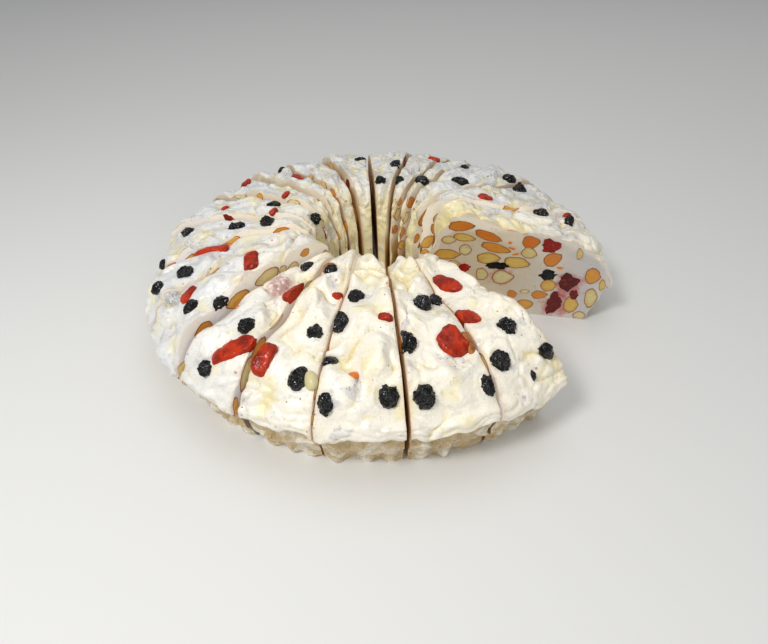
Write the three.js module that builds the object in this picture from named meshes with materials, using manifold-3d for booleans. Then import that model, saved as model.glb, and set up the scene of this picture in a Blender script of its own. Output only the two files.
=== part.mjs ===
// A ring-shaped soft nougat cake, cut into wedges that still stand together as a ring.
// A whipped crown hangs over a pleated skirt, and dark berries and candied red fruit are set in it.
// Millimetres, +Z up, origin on the ring's axis at the base. Angles run anticlockwise from +X.
import * as THREE from "three";
import { mergeVertices } from "three/addons/utils/BufferGeometryUtils.js";
import Module from "manifold-3d";

const wasm = await Module();
wasm.setup();

// ---- Driving dimensions, in millimetres ----
const RIM_RADIUS = 192; // the widest part of the crown
const SKIRT_RADIUS = 177.2; // the pleated skirt at the base
const HOLE_RADIUS = 47;
const CREST_HEIGHT = 83; // the highest part of a plain wedge
const LIP_HEIGHT = 31; // the crown's lower edge, over the skirt
const SKIRT_FLARE = 11; // how far the skirt leans out by its top
const PLEAT_DEPTH = 1.8; // half of the way from a pleat's valley to its crest
const PLEAT_PITCH = 15.5; // one pleat, measured round the skirt
const LUMP = 2.6; // the swell of the whipped lumps
const LUMPS_FROM = 0.2; // the lumps are full from this part of the profile on, counted from the lower edge
const LUMPS_TO = 0.85; // and die away from here, in the hole
const TUCK = 1.5; // the skirt's top lies this far above the crown's lower edge
const SCALLOP = 3.2; // the rise and fall of the crown's lower edge
const FRONT_RISE = 5; // the lower edge stands this much higher in front
const FRONT_SIDE = 260; // the middle of the front, in degrees
const LEAN = 2.2; // each wedge leans back, towards +Y, by this much at its cuts
const RIGHT_LEAN = 0.8; // and by this much on the +X side
const END_PEAK = 8; // the crown stands taller near the hole, on this side of the gap
const PEAK_AT = 2; // the middle of that peak, in degrees
const PEAK_REACH = 10; // how far it reaches round the ring, in degrees
const PEAK_RADIUS = 65; // where it is highest
const PEAK_WIDTH = 22; // and how far it reaches along the radius
const EDGE_DROP = 1.2; // the knife drags the skin down at a cut
const EDGE_REACH = 3; // and this far into the wedge
const DRAWN_IN = 4.2; // the rim is drawn in on one side of the ring
const DRAWN_SIDE = 165; // the middle of that side, in degrees
const FRUIT_GAP = 0.4; // clearance between a fruit and its pocket
const INNER_PART = [95, 150]; // the inner part of a wedge fades out between these radii
const SHOULDER = 45; // a reach into the hole fades out over this run of radius
const REACH_LOST = 0.35; // this share of the reach is lost from a wedge's start to its end
const CROWN_STEPS = 15; // facets along the crown's profile
const RIM_PART = 0.025; // one more row, where the crown is widest, as a part of its profile

// Each knife cut: its angle in degrees and the width of its slit. Then, for the next wedge, how far all of
// it stands up, how far its inner part stands up on top of that, and how far it reaches into the hole.
const CUTS = [
  [-12.5, 0, 0, 2, 4],
  [7, 4.5, 0, 3, 12],
  [30.5, 4, 1, 0, 13],
  [51.5, 4, 1, 0, 15],
  [63, 4, 1, 0, 15],
  [76, 3.5, 3, 0, 12],
  [93.5, 5, 2, 0, 4],
  [110.5, 4.5, -1, 0, 0],
  [125.5, 3.5, -1, 0, 0],
  [137.5, 3, -2, 0, 0],
  [153.5, 3, -2, 0, 0],
  [173, 3, -2, 0, 0],
  [192, 3.5, -1, 0, 0],
  [208.5, 3.2, 2, 2, 0],
  [225.5, 6, -1, -1, 0],
  [242, 5.5, 0, 2, 0],
  [257.5, 1.6, 0, 2, 0],
  [274.5, 3, 1, -4, 0],
  [291.5, 2.6, 0, -7, -3],
  [308, 0, 0, 0, 0],
];

// The crown's profile, from the lower edge over the top and down into the hole: radius, height.
const crown = new THREE.SplineCurve(
  [
    [RIM_RADIUS - 2, LIP_HEIGHT],
    [RIM_RADIUS, LIP_HEIGHT + 5],
    [RIM_RADIUS - 3, LIP_HEIGHT + 14],
    [RIM_RADIUS - 17, CREST_HEIGHT - 20],
    [RIM_RADIUS - 44, CREST_HEIGHT - 9],
    [RIM_RADIUS - 87, CREST_HEIGHT - 2],
    [HOLE_RADIUS + 24, CREST_HEIGHT],
    [HOLE_RADIUS + 10, CREST_HEIGHT - 9],
    [HOLE_RADIUS + 3, CREST_HEIGHT - 28],
    [HOLE_RADIUS, CREST_HEIGHT - 41],
  ].map(([radius, height]) => new THREE.Vector2(radius, height)),
);
const CROWN_LENGTH = crown.getLength();
const CROWN_PARTS = [0, RIM_PART];
for (let i = 1; i <= CROWN_STEPS; i += 1) CROWN_PARTS.push(i / CROWN_STEPS);

const rad = THREE.MathUtils.degToRad;
const { lerp, clamp, smoothstep } = THREE.MathUtils;

// A repeatable value from -1 to 1 for any number.
function jitter(n) {
  const s = Math.sin(n * 127.1 + 11.7) * 43758.5;
  return 2 * (s - Math.floor(s)) - 1;
}

// ---- The wedges ----

const wedges = CUTS.slice(1).map(([end, endSlit], i) => ({
  name: `slice_${String(i + 1).padStart(2, "0")}`,
  start: rad(CUTS[i][0]),
  end: rad(end),
  startSlit: CUTS[i][1] / 2,
  endSlit: endSlit / 2,
  rise: CUTS[i][2],
  innerRise: CUTS[i][3],
  reach: CUTS[i][4],
}));

// How far the whipped skin swells at an angle, and at a run in mm along the profile.
function swell(angle, run) {
  const broad = Math.sin(11 * angle - run / 30 + 2);
  const drift = 1.5 * Math.sin(run / 40);
  const across = Math.sin(run / 9 + 1.2 * Math.sin(7 * angle));
  return LUMP * (0.45 * broad + 0.75 * Math.sin(20 * angle + drift) * across);
}

// The rise and fall of the crown's lower edge round the ring.
function scallop(angle) {
  const waves = 0.55 * Math.sin(40 * angle + 1.3 * Math.sin(5 * angle)) + 0.45 * Math.sin(19 * angle);
  return SCALLOP * waves + FRONT_RISE * Math.max(0, Math.cos(angle - rad(FRONT_SIDE)));
}

// How far the rim is drawn in towards the hole at an angle.
function drawnIn(angle) {
  return DRAWN_IN * Math.max(0, Math.cos(angle - rad(DRAWN_SIDE)));
}

// How far across a wedge an angle lies, from 0 at its start to 1 at its end.
function acrossWedge(wedge, angle) {
  return clamp((angle - wedge.start) / (wedge.end - wedge.start), 0, 1);
}

// How far a wedge reaches into the hole at an angle.
function holeReach(wedge, angle) {
  return wedge.reach * (1 - REACH_LOST * acrossWedge(wedge, angle));
}

// A point of the crown's skin, as radius and height: part runs from 0 at the lower edge to 1 in the hole.
function crownPoint(wedge, angle, part) {
  const point = crown.getPointAt(part);
  const tangent = crown.getTangentAt(part);
  const fade = smoothstep(part, 0, LUMPS_FROM) * (1 - smoothstep(part, LUMPS_TO, 1));
  const out = swell(angle, part * CROWN_LENGTH) * fade;
  point.add(new THREE.Vector2(tangent.y, -tangent.x).multiplyScalar(out));
  const top = smoothstep(point.y, LIP_HEIGHT, CREST_HEIGHT - 12);
  const across = acrossWedge(wedge, angle);
  const side = Math.cos((wedge.start + wedge.end) / 2);
  const lean = 2 * (side > 0 ? RIGHT_LEAN : LEAN) * side * (0.5 - across);
  const inner = wedge.innerRise * (1 - smoothstep(point.x, ...INNER_PART));
  const nearPeak = Math.exp(-(((angle - rad(PEAK_AT)) / rad(PEAK_REACH)) ** 2));
  const peak = END_PEAK * nearPeak * Math.exp(-(((point.x - PEAK_RADIUS) / PEAK_WIDTH) ** 2));
  point.y += top * (wedge.rise + inner + lean + peak) + scallop(angle) * (1 - smoothstep(part, 0, 0.12));
  const fromCut = Math.min(across, 1 - across) * (wedge.end - wedge.start) * point.x;
  point.y -= top * EDGE_DROP * Math.exp(-fromCut / EDGE_REACH);
  const shoulder = 1 - smoothstep(point.x, HOLE_RADIUS, HOLE_RADIUS + SHOULDER);
  point.x -= drawnIn(angle) * smoothstep(point.x, HOLE_RADIUS, RIM_RADIUS);
  point.x -= holeReach(wedge, angle) * shoulder;
  return point;
}

// A wedge's outline at one of its columns, anticlockwise, as radius and height.
function outlineAt(wedge, angle, pleat) {
  const skirt = SKIRT_RADIUS + pleat - drawnIn(angle);
  const tuck = LIP_HEIGHT + scallop(angle) + TUCK;
  const outline = [new THREE.Vector2(skirt, 0), new THREE.Vector2(skirt + SKIRT_FLARE, tuck)];
  for (const part of CROWN_PARTS) outline.push(crownPoint(wedge, angle, part));
  outline.push(new THREE.Vector2(HOLE_RADIUS - 1 - holeReach(wedge, angle), 0));
  return outline;
}

// Where a radius and height land in space: the cut planes stand half a slit off their radial lines.
function place(wedge, across, { x: radius, y: height }) {
  const first = wedge.start + Math.asin(wedge.startSlit / radius);
  const last = wedge.end - Math.asin(wedge.endSlit / radius);
  const angle = lerp(first, last, across);
  return new THREE.Vector3(radius * Math.cos(angle), radius * Math.sin(angle), height);
}

// A wedge is a lathed outline, closed at both ends by flat cut faces.
function wedgeGeometry(wedge) {
  const columns = 2 * Math.round(((wedge.end - wedge.start) * SKIRT_RADIUS) / PLEAT_PITCH);
  const outlines = [];
  const positions = [];
  for (let column = 0; column <= columns; column += 1) {
    const across = column / columns;
    const pleat = (column % 2 ? PLEAT_DEPTH : -PLEAT_DEPTH) + 0.8 * jitter(wedge.start * 90 + column);
    const outline = outlineAt(wedge, lerp(wedge.start, wedge.end, across), pleat);
    outlines.push(outline);
    for (const point of [...outline, outline[0]]) positions.push(...place(wedge, across, point));
  }
  const rows = outlines[0].length + 1;
  const shell = new THREE.LatheGeometry([...outlines[0], outlines[0][0]], columns);
  const index = [...shell.index.array];
  const lastColumn = columns * rows;
  for (const [a, b, c] of THREE.ShapeUtils.triangulateShape(outlines[0], [])) index.push(a, b, c);
  for (const [a, b, c] of THREE.ShapeUtils.triangulateShape(outlines[columns], [])) {
    index.push(lastColumn + a, lastColumn + c, lastColumn + b);
  }
  const geometry = new THREE.BufferGeometry();
  geometry.setAttribute("position", new THREE.Float32BufferAttribute(positions, 3));
  geometry.setIndex(index);
  return geometry;
}

// ---- Solids ----

function solidOf(geometry) {
  const bare = geometry.clone();
  bare.deleteAttribute("normal");
  bare.deleteAttribute("uv");
  const merged = mergeVertices(bare, 1e-3);
  const vertProperties = new Float32Array(merged.attributes.position.array);
  const triVerts = new Uint32Array(merged.index.array);
  return new wasm.Manifold(new wasm.Mesh({ numProp: 3, vertProperties, triVerts }));
}

function geometryOf(solid) {
  const { vertProperties, triVerts } = solid.getMesh();
  const geometry = new THREE.BufferGeometry();
  geometry.setAttribute("position", new THREE.BufferAttribute(vertProperties, 3));
  geometry.setIndex(new THREE.BufferAttribute(triVerts, 1));
  geometry.computeVertexNormals();
  return geometry;
}

// The space between a wedge's two cut planes, taller than the cake, to trim a fruit at the knife's line.
function cutSpace(wedge) {
  const shape = new THREE.Shape(
    [
      [0, HOLE_RADIUS / 2],
      [0, RIM_RADIUS + 30],
      [1, RIM_RADIUS + 30],
      [1, HOLE_RADIUS / 2],
    ].map(([across, radius]) => place(wedge, across, { x: radius, y: 0 })),
  );
  return solidOf(new THREE.ExtrudeGeometry(shape, { depth: 2 * CREST_HEIGHT, bevelEnabled: false }));
}

// ---- Fruit set in the crown ----

// Each berry: angle in degrees, radius on the crown, length, width.
const BERRIES = [
  [234, 86, 11, 10],
  [262.2, 109, 13, 11],
  [258.7, 131, 16, 13],
  [253.8, 143, 11, 10],
  [236.2, 151.5, 13, 12],
  [233, 181.7, 12, 11],
  [224, 147, 12, 10],
  [218.3, 162, 12, 10],
  [203.8, 153, 14, 12],
  [176.7, 159, 13, 11],
  [180.8, 114, 16, 10],
  [185.6, 88, 12, 11],
  [160, 56, 12, 11],
  [79, 98, 16, 10],
  [72.2, 68, 11, 10],
  [86.5, 61, 11, 10],
  [50.6, 132, 14, 10],
  [26.6, 147, 15, 12],
  [4, 136, 14, 10],
  [283.4, 118, 15, 13],
  [289, 114, 14, 9],
  [276, 148, 16, 14],
  [277.8, 180, 16, 14],
  [271.2, 177, 15, 13],
  [300.5, 155, 14, 13],
  [294.4, 172, 14, 13],
  [290.2, 181, 14, 9],
  [253.6, 170.7, 16, 15],
  [259.7, 182, 15, 10],
];

// Each piece of candied fruit: angle, radius, length, width, and its turn from the outward line.
const RED_FRUIT = [
  [193.8, 133.3, 38, 10, -28],
  [216, 111.5, 22, 13, 60],
  [214, 158, 16, 9, 30],
  [237, 167, 37, 14, -46],
  [245, 167, 24, 12, -6],
  [240.4, 113, 24, 9, -20],
  [298, 97.5, 31, 13, 13],
  [294, 135.5, 18, 14, 67],
  [286.8, 152, 23, 20, 20],
  [127.4, 123, 22, 14, -40],
  [65, 142, 16, 9, -66],
  [13, 93, 14, 12, 30],
];

// How a kind of fruit is shaped, how much of its thickness stands proud of the skin, and its colour.
const BERRY = { boxiness: 1, proud: 0.42, thick: (width) => 0.9 * width, colour: 0x16161c };
const CANDIED = { boxiness: 0.62, proud: 0.3, thick: () => 8, colour: 0xb8301f };

// A lumpy rounded body of a given size; a boxiness below 1 squares its sides.
function lumpGeometry([length, width, thickness], boxiness, seed, grow) {
  const geometry = new THREE.IcosahedronGeometry(1, 1);
  const position = geometry.attributes.position;
  const vertex = new THREE.Vector3();
  for (let i = 0; i < position.count; i += 1) {
    vertex.fromBufferAttribute(position, i);
    const wrinkle = 0.07 * Math.sin(5 * vertex.x + 4 * vertex.y * seed + 3 * vertex.z + seed);
    const squared = ["x", "y", "z"].map((k) => Math.sign(vertex[k]) * Math.abs(vertex[k]) ** boxiness);
    vertex.set(...squared).multiplyScalar(lerp(1, 0.84, 2 * (1 - boxiness)) + wrinkle);
    position.setXYZ(
      i,
      vertex.x * (length / 2 + grow),
      vertex.y * (width / 2 + grow),
      vertex.z * (thickness / 2 + grow),
    );
  }
  return geometry;
}

// The frame of a fruit on the skin: x along its length, z out of the skin.
function seat(wedge, angle, radius, turn) {
  let low = LUMPS_FROM / 4;
  let high = 0.95;
  for (let i = 0; i < 30; i += 1) {
    const middle = (low + high) / 2;
    if (crownPoint(wedge, angle, middle).x > radius) low = middle;
    else high = middle;
  }
  const spot = (a, part) => {
    const { x, y } = crownPoint(wedge, a, part);
    return new THREE.Vector3(x * Math.cos(a), x * Math.sin(a), y);
  };
  const reach = 0.02;
  const along = spot(angle, low - reach).sub(spot(angle, low + reach));
  const round = spot(angle + reach, low).sub(spot(angle - reach, low));
  const out = along.clone().cross(round).normalize();
  along.applyAxisAngle(out, rad(turn)).normalize();
  const basis = new THREE.Matrix4().makeBasis(along, out.clone().cross(along), out);
  return { basis, point: spot(angle, low), out };
}

const fruits = [];
function setFruit(name, style, [degrees, radius, length, width, turn = 0], seed) {
  const angle = rad(degrees < 350 && degrees > CUTS.at(-1)[0] ? degrees - 360 : degrees);
  const wedge = wedges.find(({ start, end }) => angle > start && angle < end);
  const { basis, point, out } = seat(wedge, angle, radius, turn);
  const thickness = style.thick(width);
  const sink = thickness * (0.5 - style.proud);
  basis.setPosition(point.addScaledVector(out, -sink));
  const body = (grow) =>
    solidOf(lumpGeometry([length, width, thickness], style.boxiness, seed, grow).applyMatrix4(basis));
  wedge.pockets.push(body(FRUIT_GAP));
  fruits.push({ name, style, solid: body(0).intersect(cutSpace(wedge)) });
}

for (const wedge of wedges) wedge.pockets = [];
const numbered = (name, i) => `${name}_${String(i + 1).padStart(2, "0")}`;
BERRIES.forEach((berry, i) => setFruit(numbered("dark_berry", i), BERRY, berry, i + 1));
RED_FRUIT.forEach((piece, i) => setFruit(numbered("red_fruit", i), CANDIED, piece, i + 2));

// ---- The scene ----

const cake = new THREE.Group();
function add(name, solid, colour, roughness) {
  const material = new THREE.MeshStandardMaterial({ color: colour, roughness, metalness: 0 });
  const mesh = new THREE.Mesh(geometryOf(solid), material);
  mesh.name = name;
  cake.add(mesh);
}

for (const wedge of wedges) {
  const whole = solidOf(wedgeGeometry(wedge));
  const pocketed = wedge.pockets.reduce((solid, pocket) => solid.subtract(pocket), whole);
  add(wedge.name, pocketed, 0xfaf3dc, 0.5);
}
for (const { name, style, solid } of fruits) add(name, solid, style.colour, 0.35);

export default cake;
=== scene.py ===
# %% [markdown]
# # A ring of soft nougat
# This lesson dresses a ring-shaped nougat cake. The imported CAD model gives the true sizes: 19 wedges of
# nougat, 29 dark berries and 12 pieces of candied red fruit. Blender gives each of them its fine surface.
# The real cake is whipped egg white and honey, poured hot into a fluted ring mould and pulled into folds.
# It is cut while it is soft, so the folds run on from wedge to wedge and the cut faces are flat.

# %% Load the frame
import math
import random

import bpy
import numpy as np
from mathutils import Matrix, Vector, noise
from mathutils.bvhtree import BVHTree


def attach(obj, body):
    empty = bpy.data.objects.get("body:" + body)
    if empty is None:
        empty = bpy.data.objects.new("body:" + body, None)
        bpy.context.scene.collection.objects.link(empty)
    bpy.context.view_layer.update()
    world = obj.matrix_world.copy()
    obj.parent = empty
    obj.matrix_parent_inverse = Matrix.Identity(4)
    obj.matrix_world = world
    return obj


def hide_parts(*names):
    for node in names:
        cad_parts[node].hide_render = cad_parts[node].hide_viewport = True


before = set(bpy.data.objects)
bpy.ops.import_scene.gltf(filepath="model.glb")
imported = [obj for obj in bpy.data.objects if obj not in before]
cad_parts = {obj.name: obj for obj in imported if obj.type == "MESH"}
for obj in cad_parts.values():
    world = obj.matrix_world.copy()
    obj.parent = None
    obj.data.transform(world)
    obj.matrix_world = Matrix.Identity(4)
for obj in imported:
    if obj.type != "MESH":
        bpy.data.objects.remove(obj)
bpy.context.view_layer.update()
MM = 0.001  # every size below is written in millimetres and multiplied by this

# %% [markdown]
# ## The camera
# The camera stands close to the cake and looks down on it, so the near wedges look much larger than the
# far ones. A short lens gives that steep perspective. The three turns are given one after the other:
# first to the side, then down, then a small roll about the line of sight.

# %% Make the camera
CAMERA_PLACE = Vector((0, -386.8, 282.8)) * MM
LOOKS_DOWN = math.radians(38.76)
LOOKS_RIGHT = math.radians(0.55)
ROLLS_RIGHT = math.radians(1.16)

camera_data = bpy.data.cameras.new("camera")
camera_data.sensor_width = 36
camera_data.lens = 24.84
camera_data.clip_start = 0.01
camera = bpy.data.objects.new("camera", camera_data)
bpy.context.collection.objects.link(camera)
camera.matrix_world = (
    Matrix.Translation(CAMERA_PLACE)
    @ Matrix.Rotation(-LOOKS_RIGHT, 4, "Z")
    @ Matrix.Rotation(math.pi / 2 - LOOKS_DOWN, 4, "X")
    @ Matrix.Rotation(-ROLLS_RIGHT, 4, "Z")
)
bpy.context.scene.camera = camera
print("camera lens:", camera_data.lens, "mm")

# %% [markdown]
# ## Writing shader maths as Python
# A material is a web of nodes. Long webs are hard to read, so the sums are written as Python expressions.
# `Wire` wraps the output of a node. When it is added, taken away or multiplied, it adds the Math node
# that does it, and `1 - mask` works too. Any other node comes from `Finish.node`.


# %% The Wire and Finish classes
class Wire:
    """The output of a node, which can be used in a sum."""

    def __init__(self, finish, socket):
        self.finish = finish
        self.socket = socket

    def math(self, operation, *values):
        return self.finish.node("ShaderNodeMath", {"operation": operation}, dict(enumerate(values)))

    def __add__(self, other):
        return self.math("ADD", self, other)

    def __mul__(self, other):
        return self.math("MULTIPLY", self, other)

    def __sub__(self, other):
        return self.math("SUBTRACT", self, other)

    def __rsub__(self, other):
        return self.math("SUBTRACT", other, self)

    __radd__ = __add__
    __rmul__ = __mul__

    def above(self, low, high):
        """0 below low, 1 above high, and a soft step between."""
        inputs = {"Value": self, "From Min": low, "From Max": high}
        return self.finish.node("ShaderNodeMapRange", {"interpolation_type": "SMOOTHSTEP"}, inputs)

    def part(self, name):
        """Another output of the same node."""
        return Wire(self.finish, self.socket.node.outputs[name])


class Finish:
    """One material: a Principled shader and the nodes that feed it."""

    def __init__(self, name, roughness, **constants):
        self.material = bpy.data.materials.new(name)
        self.material.use_nodes = True
        self.tree = self.material.node_tree
        self.shader = self.tree.nodes["Principled BSDF"]
        self.set(Roughness=roughness, **constants)

    def set(self, **values):
        """Sets or feeds the shader's sockets: Base_Color is the socket Base Color."""
        for name, value in values.items():
            self.feed(self.shader.inputs[name.replace("_", " ")], value)

    def feed(self, socket, value):
        if isinstance(value, Wire):
            self.tree.links.new(value.socket, socket)
        elif isinstance(value, (tuple, list)) and len(value) == 3 and socket.type == "RGBA":
            socket.default_value = (*value, 1)
        else:
            socket.default_value = value

    def soften(self, weight, depth, colour):
        """Lets light soak in: how much of it, how deep in metres, and the share of red, green and blue."""
        self.set(Subsurface_Weight=weight, Subsurface_Scale=depth, Subsurface_Radius=colour)

    def node(self, kind, settings, inputs, output=0):
        """Adds a node, sets it up, feeds its inputs and returns one of its outputs."""
        node = self.tree.nodes.new(kind)
        for name, value in settings.items():
            if name == "stops":
                while len(node.color_ramp.elements) < len(value):
                    node.color_ramp.elements.new(1)
                for element, (place, colour) in zip(node.color_ramp.elements, value):
                    element.position = place
                    element.color = (*colour, 1)
            else:
                setattr(node, name, value)
        for name, value in inputs.items():
            self.feed(node.inputs[name], value)
        return Wire(self, node.outputs[output])

    def place(self):
        return self.node("ShaderNodeTexCoord", {}, {}, "Object")

    def attribute(self, name, output="Fac"):
        """What `keep_trait` has stored on the mesh."""
        return self.node("ShaderNodeAttribute", {"attribute_name": name}, {}, output)

    def noise(self, size, detail=2, vector=None, rough=0.5, bend=0):
        """Soft noise from 0 to 1, whose blots are about size metres across."""
        inputs = {
            "Vector": vector or self.place(),
            "Scale": 1 / size,
            "Detail": detail,
            "Roughness": rough,
            "Distortion": bend,
        }
        return self.node("ShaderNodeTexNoise", {}, inputs)

    def cells(self, size, output="Distance"):
        """Round cells about size metres across: the distance to their middles, or their random Color."""
        return self.node("ShaderNodeTexVoronoi", {}, {"Vector": self.place(), "Scale": 1 / size}, output)

    def mix(self, amount, one, other):
        """A colour between one and other."""
        inputs = {"Factor": amount, "A": one, "B": other}
        node = self.node("ShaderNodeMix", {"data_type": "RGBA"}, {}, 2)
        sockets = {s.name: s for s in node.socket.node.inputs if s.type == "RGBA"}
        sockets["Factor"] = node.socket.node.inputs[0]
        for name, value in inputs.items():
            self.feed(sockets[name], value)
        return node

    def relief(self, *layers):
        """Bump from (height, depth in metres) layers, each laid over the last."""
        normal = None
        for height, depth in layers:
            inputs = {"Height": height, "Distance": depth, "Strength": 1}
            if normal:
                inputs["Normal"] = normal
            normal = self.node("ShaderNodeBump", {}, inputs)
        self.set(Normal=normal)


def srgb(red, green, blue):
    """The shader's linear colour for a screen colour from 0 to 255."""
    return tuple(((v / 255 + 0.055) / 1.055) ** 2.4 if v > 10 else v / 3295 for v in (red, green, blue))


print("cream in linear light:", [round(v, 3) for v in srgb(250, 240, 210)])

# %% [markdown]
# ## The ring's sizes
# These are the sizes that the CAD model was made from. The wedges are made again here from the same rules,
# but with about fifty times more faces, so that they can carry the fine folds of the whipped surface.
# Angles run anticlockwise from +X, and the missing portion lies between 308 and 347.5 degrees.

# %% Sizes and cuts
RIM_RADIUS = 192 * MM
SKIRT_RADIUS = 177.2 * MM
HOLE_RADIUS = 47 * MM
CREST_HEIGHT = 83 * MM
LIP_HEIGHT = 31 * MM
SKIRT_FLARE = 11 * MM
PLEAT_DEPTH = 1.8 * MM
PLEAT_PITCH = 15.5 * MM
LUMP = 2.6 * MM
LUMPS_FROM = 0.2
LUMPS_TO = 0.85
SCALLOP = 3.2 * MM
FRONT_RISE = 5 * MM
FRONT_SIDE = math.radians(260)
LEAN = 2.2 * MM
RIGHT_LEAN = 0.8 * MM
END_PEAK = 8 * MM
PEAK_AT = math.radians(2)
PEAK_REACH = math.radians(10)
PEAK_RADIUS = 65 * MM
PEAK_WIDTH = 22 * MM
EDGE_DROP = 1.2 * MM
EDGE_REACH = 3 * MM
DRAWN_IN = 4.2 * MM
DRAWN_SIDE = math.radians(165)
INNER_PART = (95 * MM, 150 * MM)
SHOULDER = 45 * MM
REACH_LOST = 0.35
FULL_RISE_BELOW = 12 * MM  # a wedge's own rise is whole from this far under the crest
SCALLOPED = 0.12  # the scallops fade out over this part of the crown

# Each knife cut: its angle in degrees and the width of its slit in mm. Then, for the next wedge, the rise
# of all of it, the further rise of its inner part and its reach into the hole, in mm.
CUTS = [
    (-12.5, 0, 0, 2, 4),
    (7, 4.5, 0, 3, 12),
    (30.5, 4, 1, 0, 13),
    (51.5, 4, 1, 0, 15),
    (63, 4, 1, 0, 15),
    (76, 3.5, 3, 0, 12),
    (93.5, 5, 2, 0, 4),
    (110.5, 4.5, -1, 0, 0),
    (125.5, 3.5, -1, 0, 0),
    (137.5, 3, -2, 0, 0),
    (153.5, 3, -2, 0, 0),
    (173, 3, -2, 0, 0),
    (192, 3.5, -1, 0, 0),
    (208.5, 3.2, 2, 2, 0),
    (225.5, 6, -1, -1, 0),
    (242, 5.5, 0, 2, 0),
    (257.5, 1.6, 0, 2, 0),
    (274.5, 3, 1, -4, 0),
    (291.5, 2.6, 0, -7, -3),
    (308, 0, 0, 0, 0),
]


class Wedge:
    """The numbers of one wedge, from the cut where it starts to the next."""

    def __init__(self, index):
        self.name = f"slice_{index + 1:02d}"
        self.start, self.end = (math.radians(CUTS[index + i][0]) for i in (0, 1))
        self.start_slit, self.end_slit = (CUTS[index + i][1] / 2 * MM for i in (0, 1))
        self.rise, self.inner_rise, self.reach = (value * MM for value in CUTS[index][2:])

    def across(self, angle):
        return np.clip((angle - self.start) / (self.end - self.start), 0, 1)

    def hole_reach(self, angle):
        """How far the wedge reaches into the hole: a third of it is lost towards its end."""
        return self.reach * (1 - REACH_LOST * self.across(angle))

    def angle(self, across, radius):
        """The angle at a share of the way across: the cut planes stand half a slit off their lines."""
        first = self.start + np.arcsin(self.start_slit / radius)
        last = self.end - np.arcsin(self.end_slit / radius)
        return first + (last - first) * across


wedges = [Wedge(i) for i in range(len(CUTS) - 1)]
print("wedges:", len(wedges))

# %% [markdown]
# ## The crown's profile
# The section of the ring is a soft loaf: a blunt outer edge, a long slope up to a crest near the hole, and
# a steep drop into the hole. It is drawn as one smooth curve through ten points. `crown_curve` walks along
# it at an even pace, so `part` runs from 0 at the lower edge to 1 inside the hole.


# %% The profile as a smooth curve
CROWN_POINTS = np.array(
    [
        (RIM_RADIUS - 2 * MM, LIP_HEIGHT),
        (RIM_RADIUS, LIP_HEIGHT + 5 * MM),
        (RIM_RADIUS - 3 * MM, LIP_HEIGHT + 14 * MM),
        (RIM_RADIUS - 17 * MM, CREST_HEIGHT - 20 * MM),
        (RIM_RADIUS - 44 * MM, CREST_HEIGHT - 9 * MM),
        (RIM_RADIUS - 87 * MM, CREST_HEIGHT - 2 * MM),
        (HOLE_RADIUS + 24 * MM, CREST_HEIGHT),
        (HOLE_RADIUS + 10 * MM, CREST_HEIGHT - 9 * MM),
        (HOLE_RADIUS + 3 * MM, CREST_HEIGHT - 28 * MM),
        (HOLE_RADIUS, CREST_HEIGHT - 41 * MM),
    ]
)


def smooth_curve(points, steps=60):
    """A Catmull-Rom curve through the points, as many short steps."""
    ends = np.concatenate([points[:1], points, points[-1:]])
    t = np.linspace(0, 1, steps, endpoint=False)[:, None]
    pieces = []
    for before, here, there, after in zip(ends, ends[1:], ends[2:], ends[3:]):
        leave, arrive = (there - before) / 2, (after - here) / 2
        cubic = (2 * here - 2 * there + leave + arrive) * t**3
        pieces.append(cubic + (3 * there - 3 * here - 2 * leave - arrive) * t**2 + leave * t + here)
    return np.concatenate([*pieces, points[-1:]])


curve = smooth_curve(CROWN_POINTS)
run = np.concatenate([[0], np.cumsum(np.linalg.norm(np.diff(curve, axis=0), axis=1))])
CROWN_LENGTH = run[-1]
slope = np.gradient(curve, run, axis=0)


def crown_curve(part):
    """Radius, height and the two parts of the outward normal, for an array of parts."""
    at = np.asarray(part) * CROWN_LENGTH
    radius, height, across, up = (
        np.interp(at, run, values) for values in (*curve.T, *slope.T)
    )
    return radius, height, up, -across


print("the profile is", round(CROWN_LENGTH / MM), "mm long")

# %% [markdown]
# ## The ring's uneven form
# A mould gives the ring its plan, but the top is heaped by hand. The rules below are the CAD model's own:
# broad swells, a wavy lower edge, wedges that stand a little higher or lower than the next, and a skin
# that the knife has dragged down at each cut. `crown_point` puts them together.


# %% Swells, edges and leaning wedges
def soft_step(x, low, high):
    """0 below low, 1 above high, and a soft step between."""
    t = np.clip((x - low) / (high - low), 0, 1)
    return t * t * (3 - 2 * t)


def swell(angle, along):
    """Whole numbers of waves round the ring, so that they meet, and slower ones up the crown."""
    broad = np.sin(11 * angle - along / (30 * MM) + 2)
    drift = 1.5 * np.sin(along / (40 * MM))
    ripple = np.sin(along / (9 * MM) + 1.2 * np.sin(7 * angle))
    return LUMP * (0.45 * broad + 0.75 * np.sin(20 * angle + drift) * ripple)


def scallop(angle):
    """How far the crown's lower edge stands above LIP_HEIGHT: waves, and a rise in front."""
    waves = 0.55 * np.sin(40 * angle + 1.3 * np.sin(5 * angle)) + 0.45 * np.sin(19 * angle)
    return SCALLOP * waves + FRONT_RISE * np.maximum(0, np.cos(angle - FRONT_SIDE))


def drawn_in(angle):
    """How far the ring has been pressed in on its left side."""
    return DRAWN_IN * np.maximum(0, np.cos(angle - DRAWN_SIDE))


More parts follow.
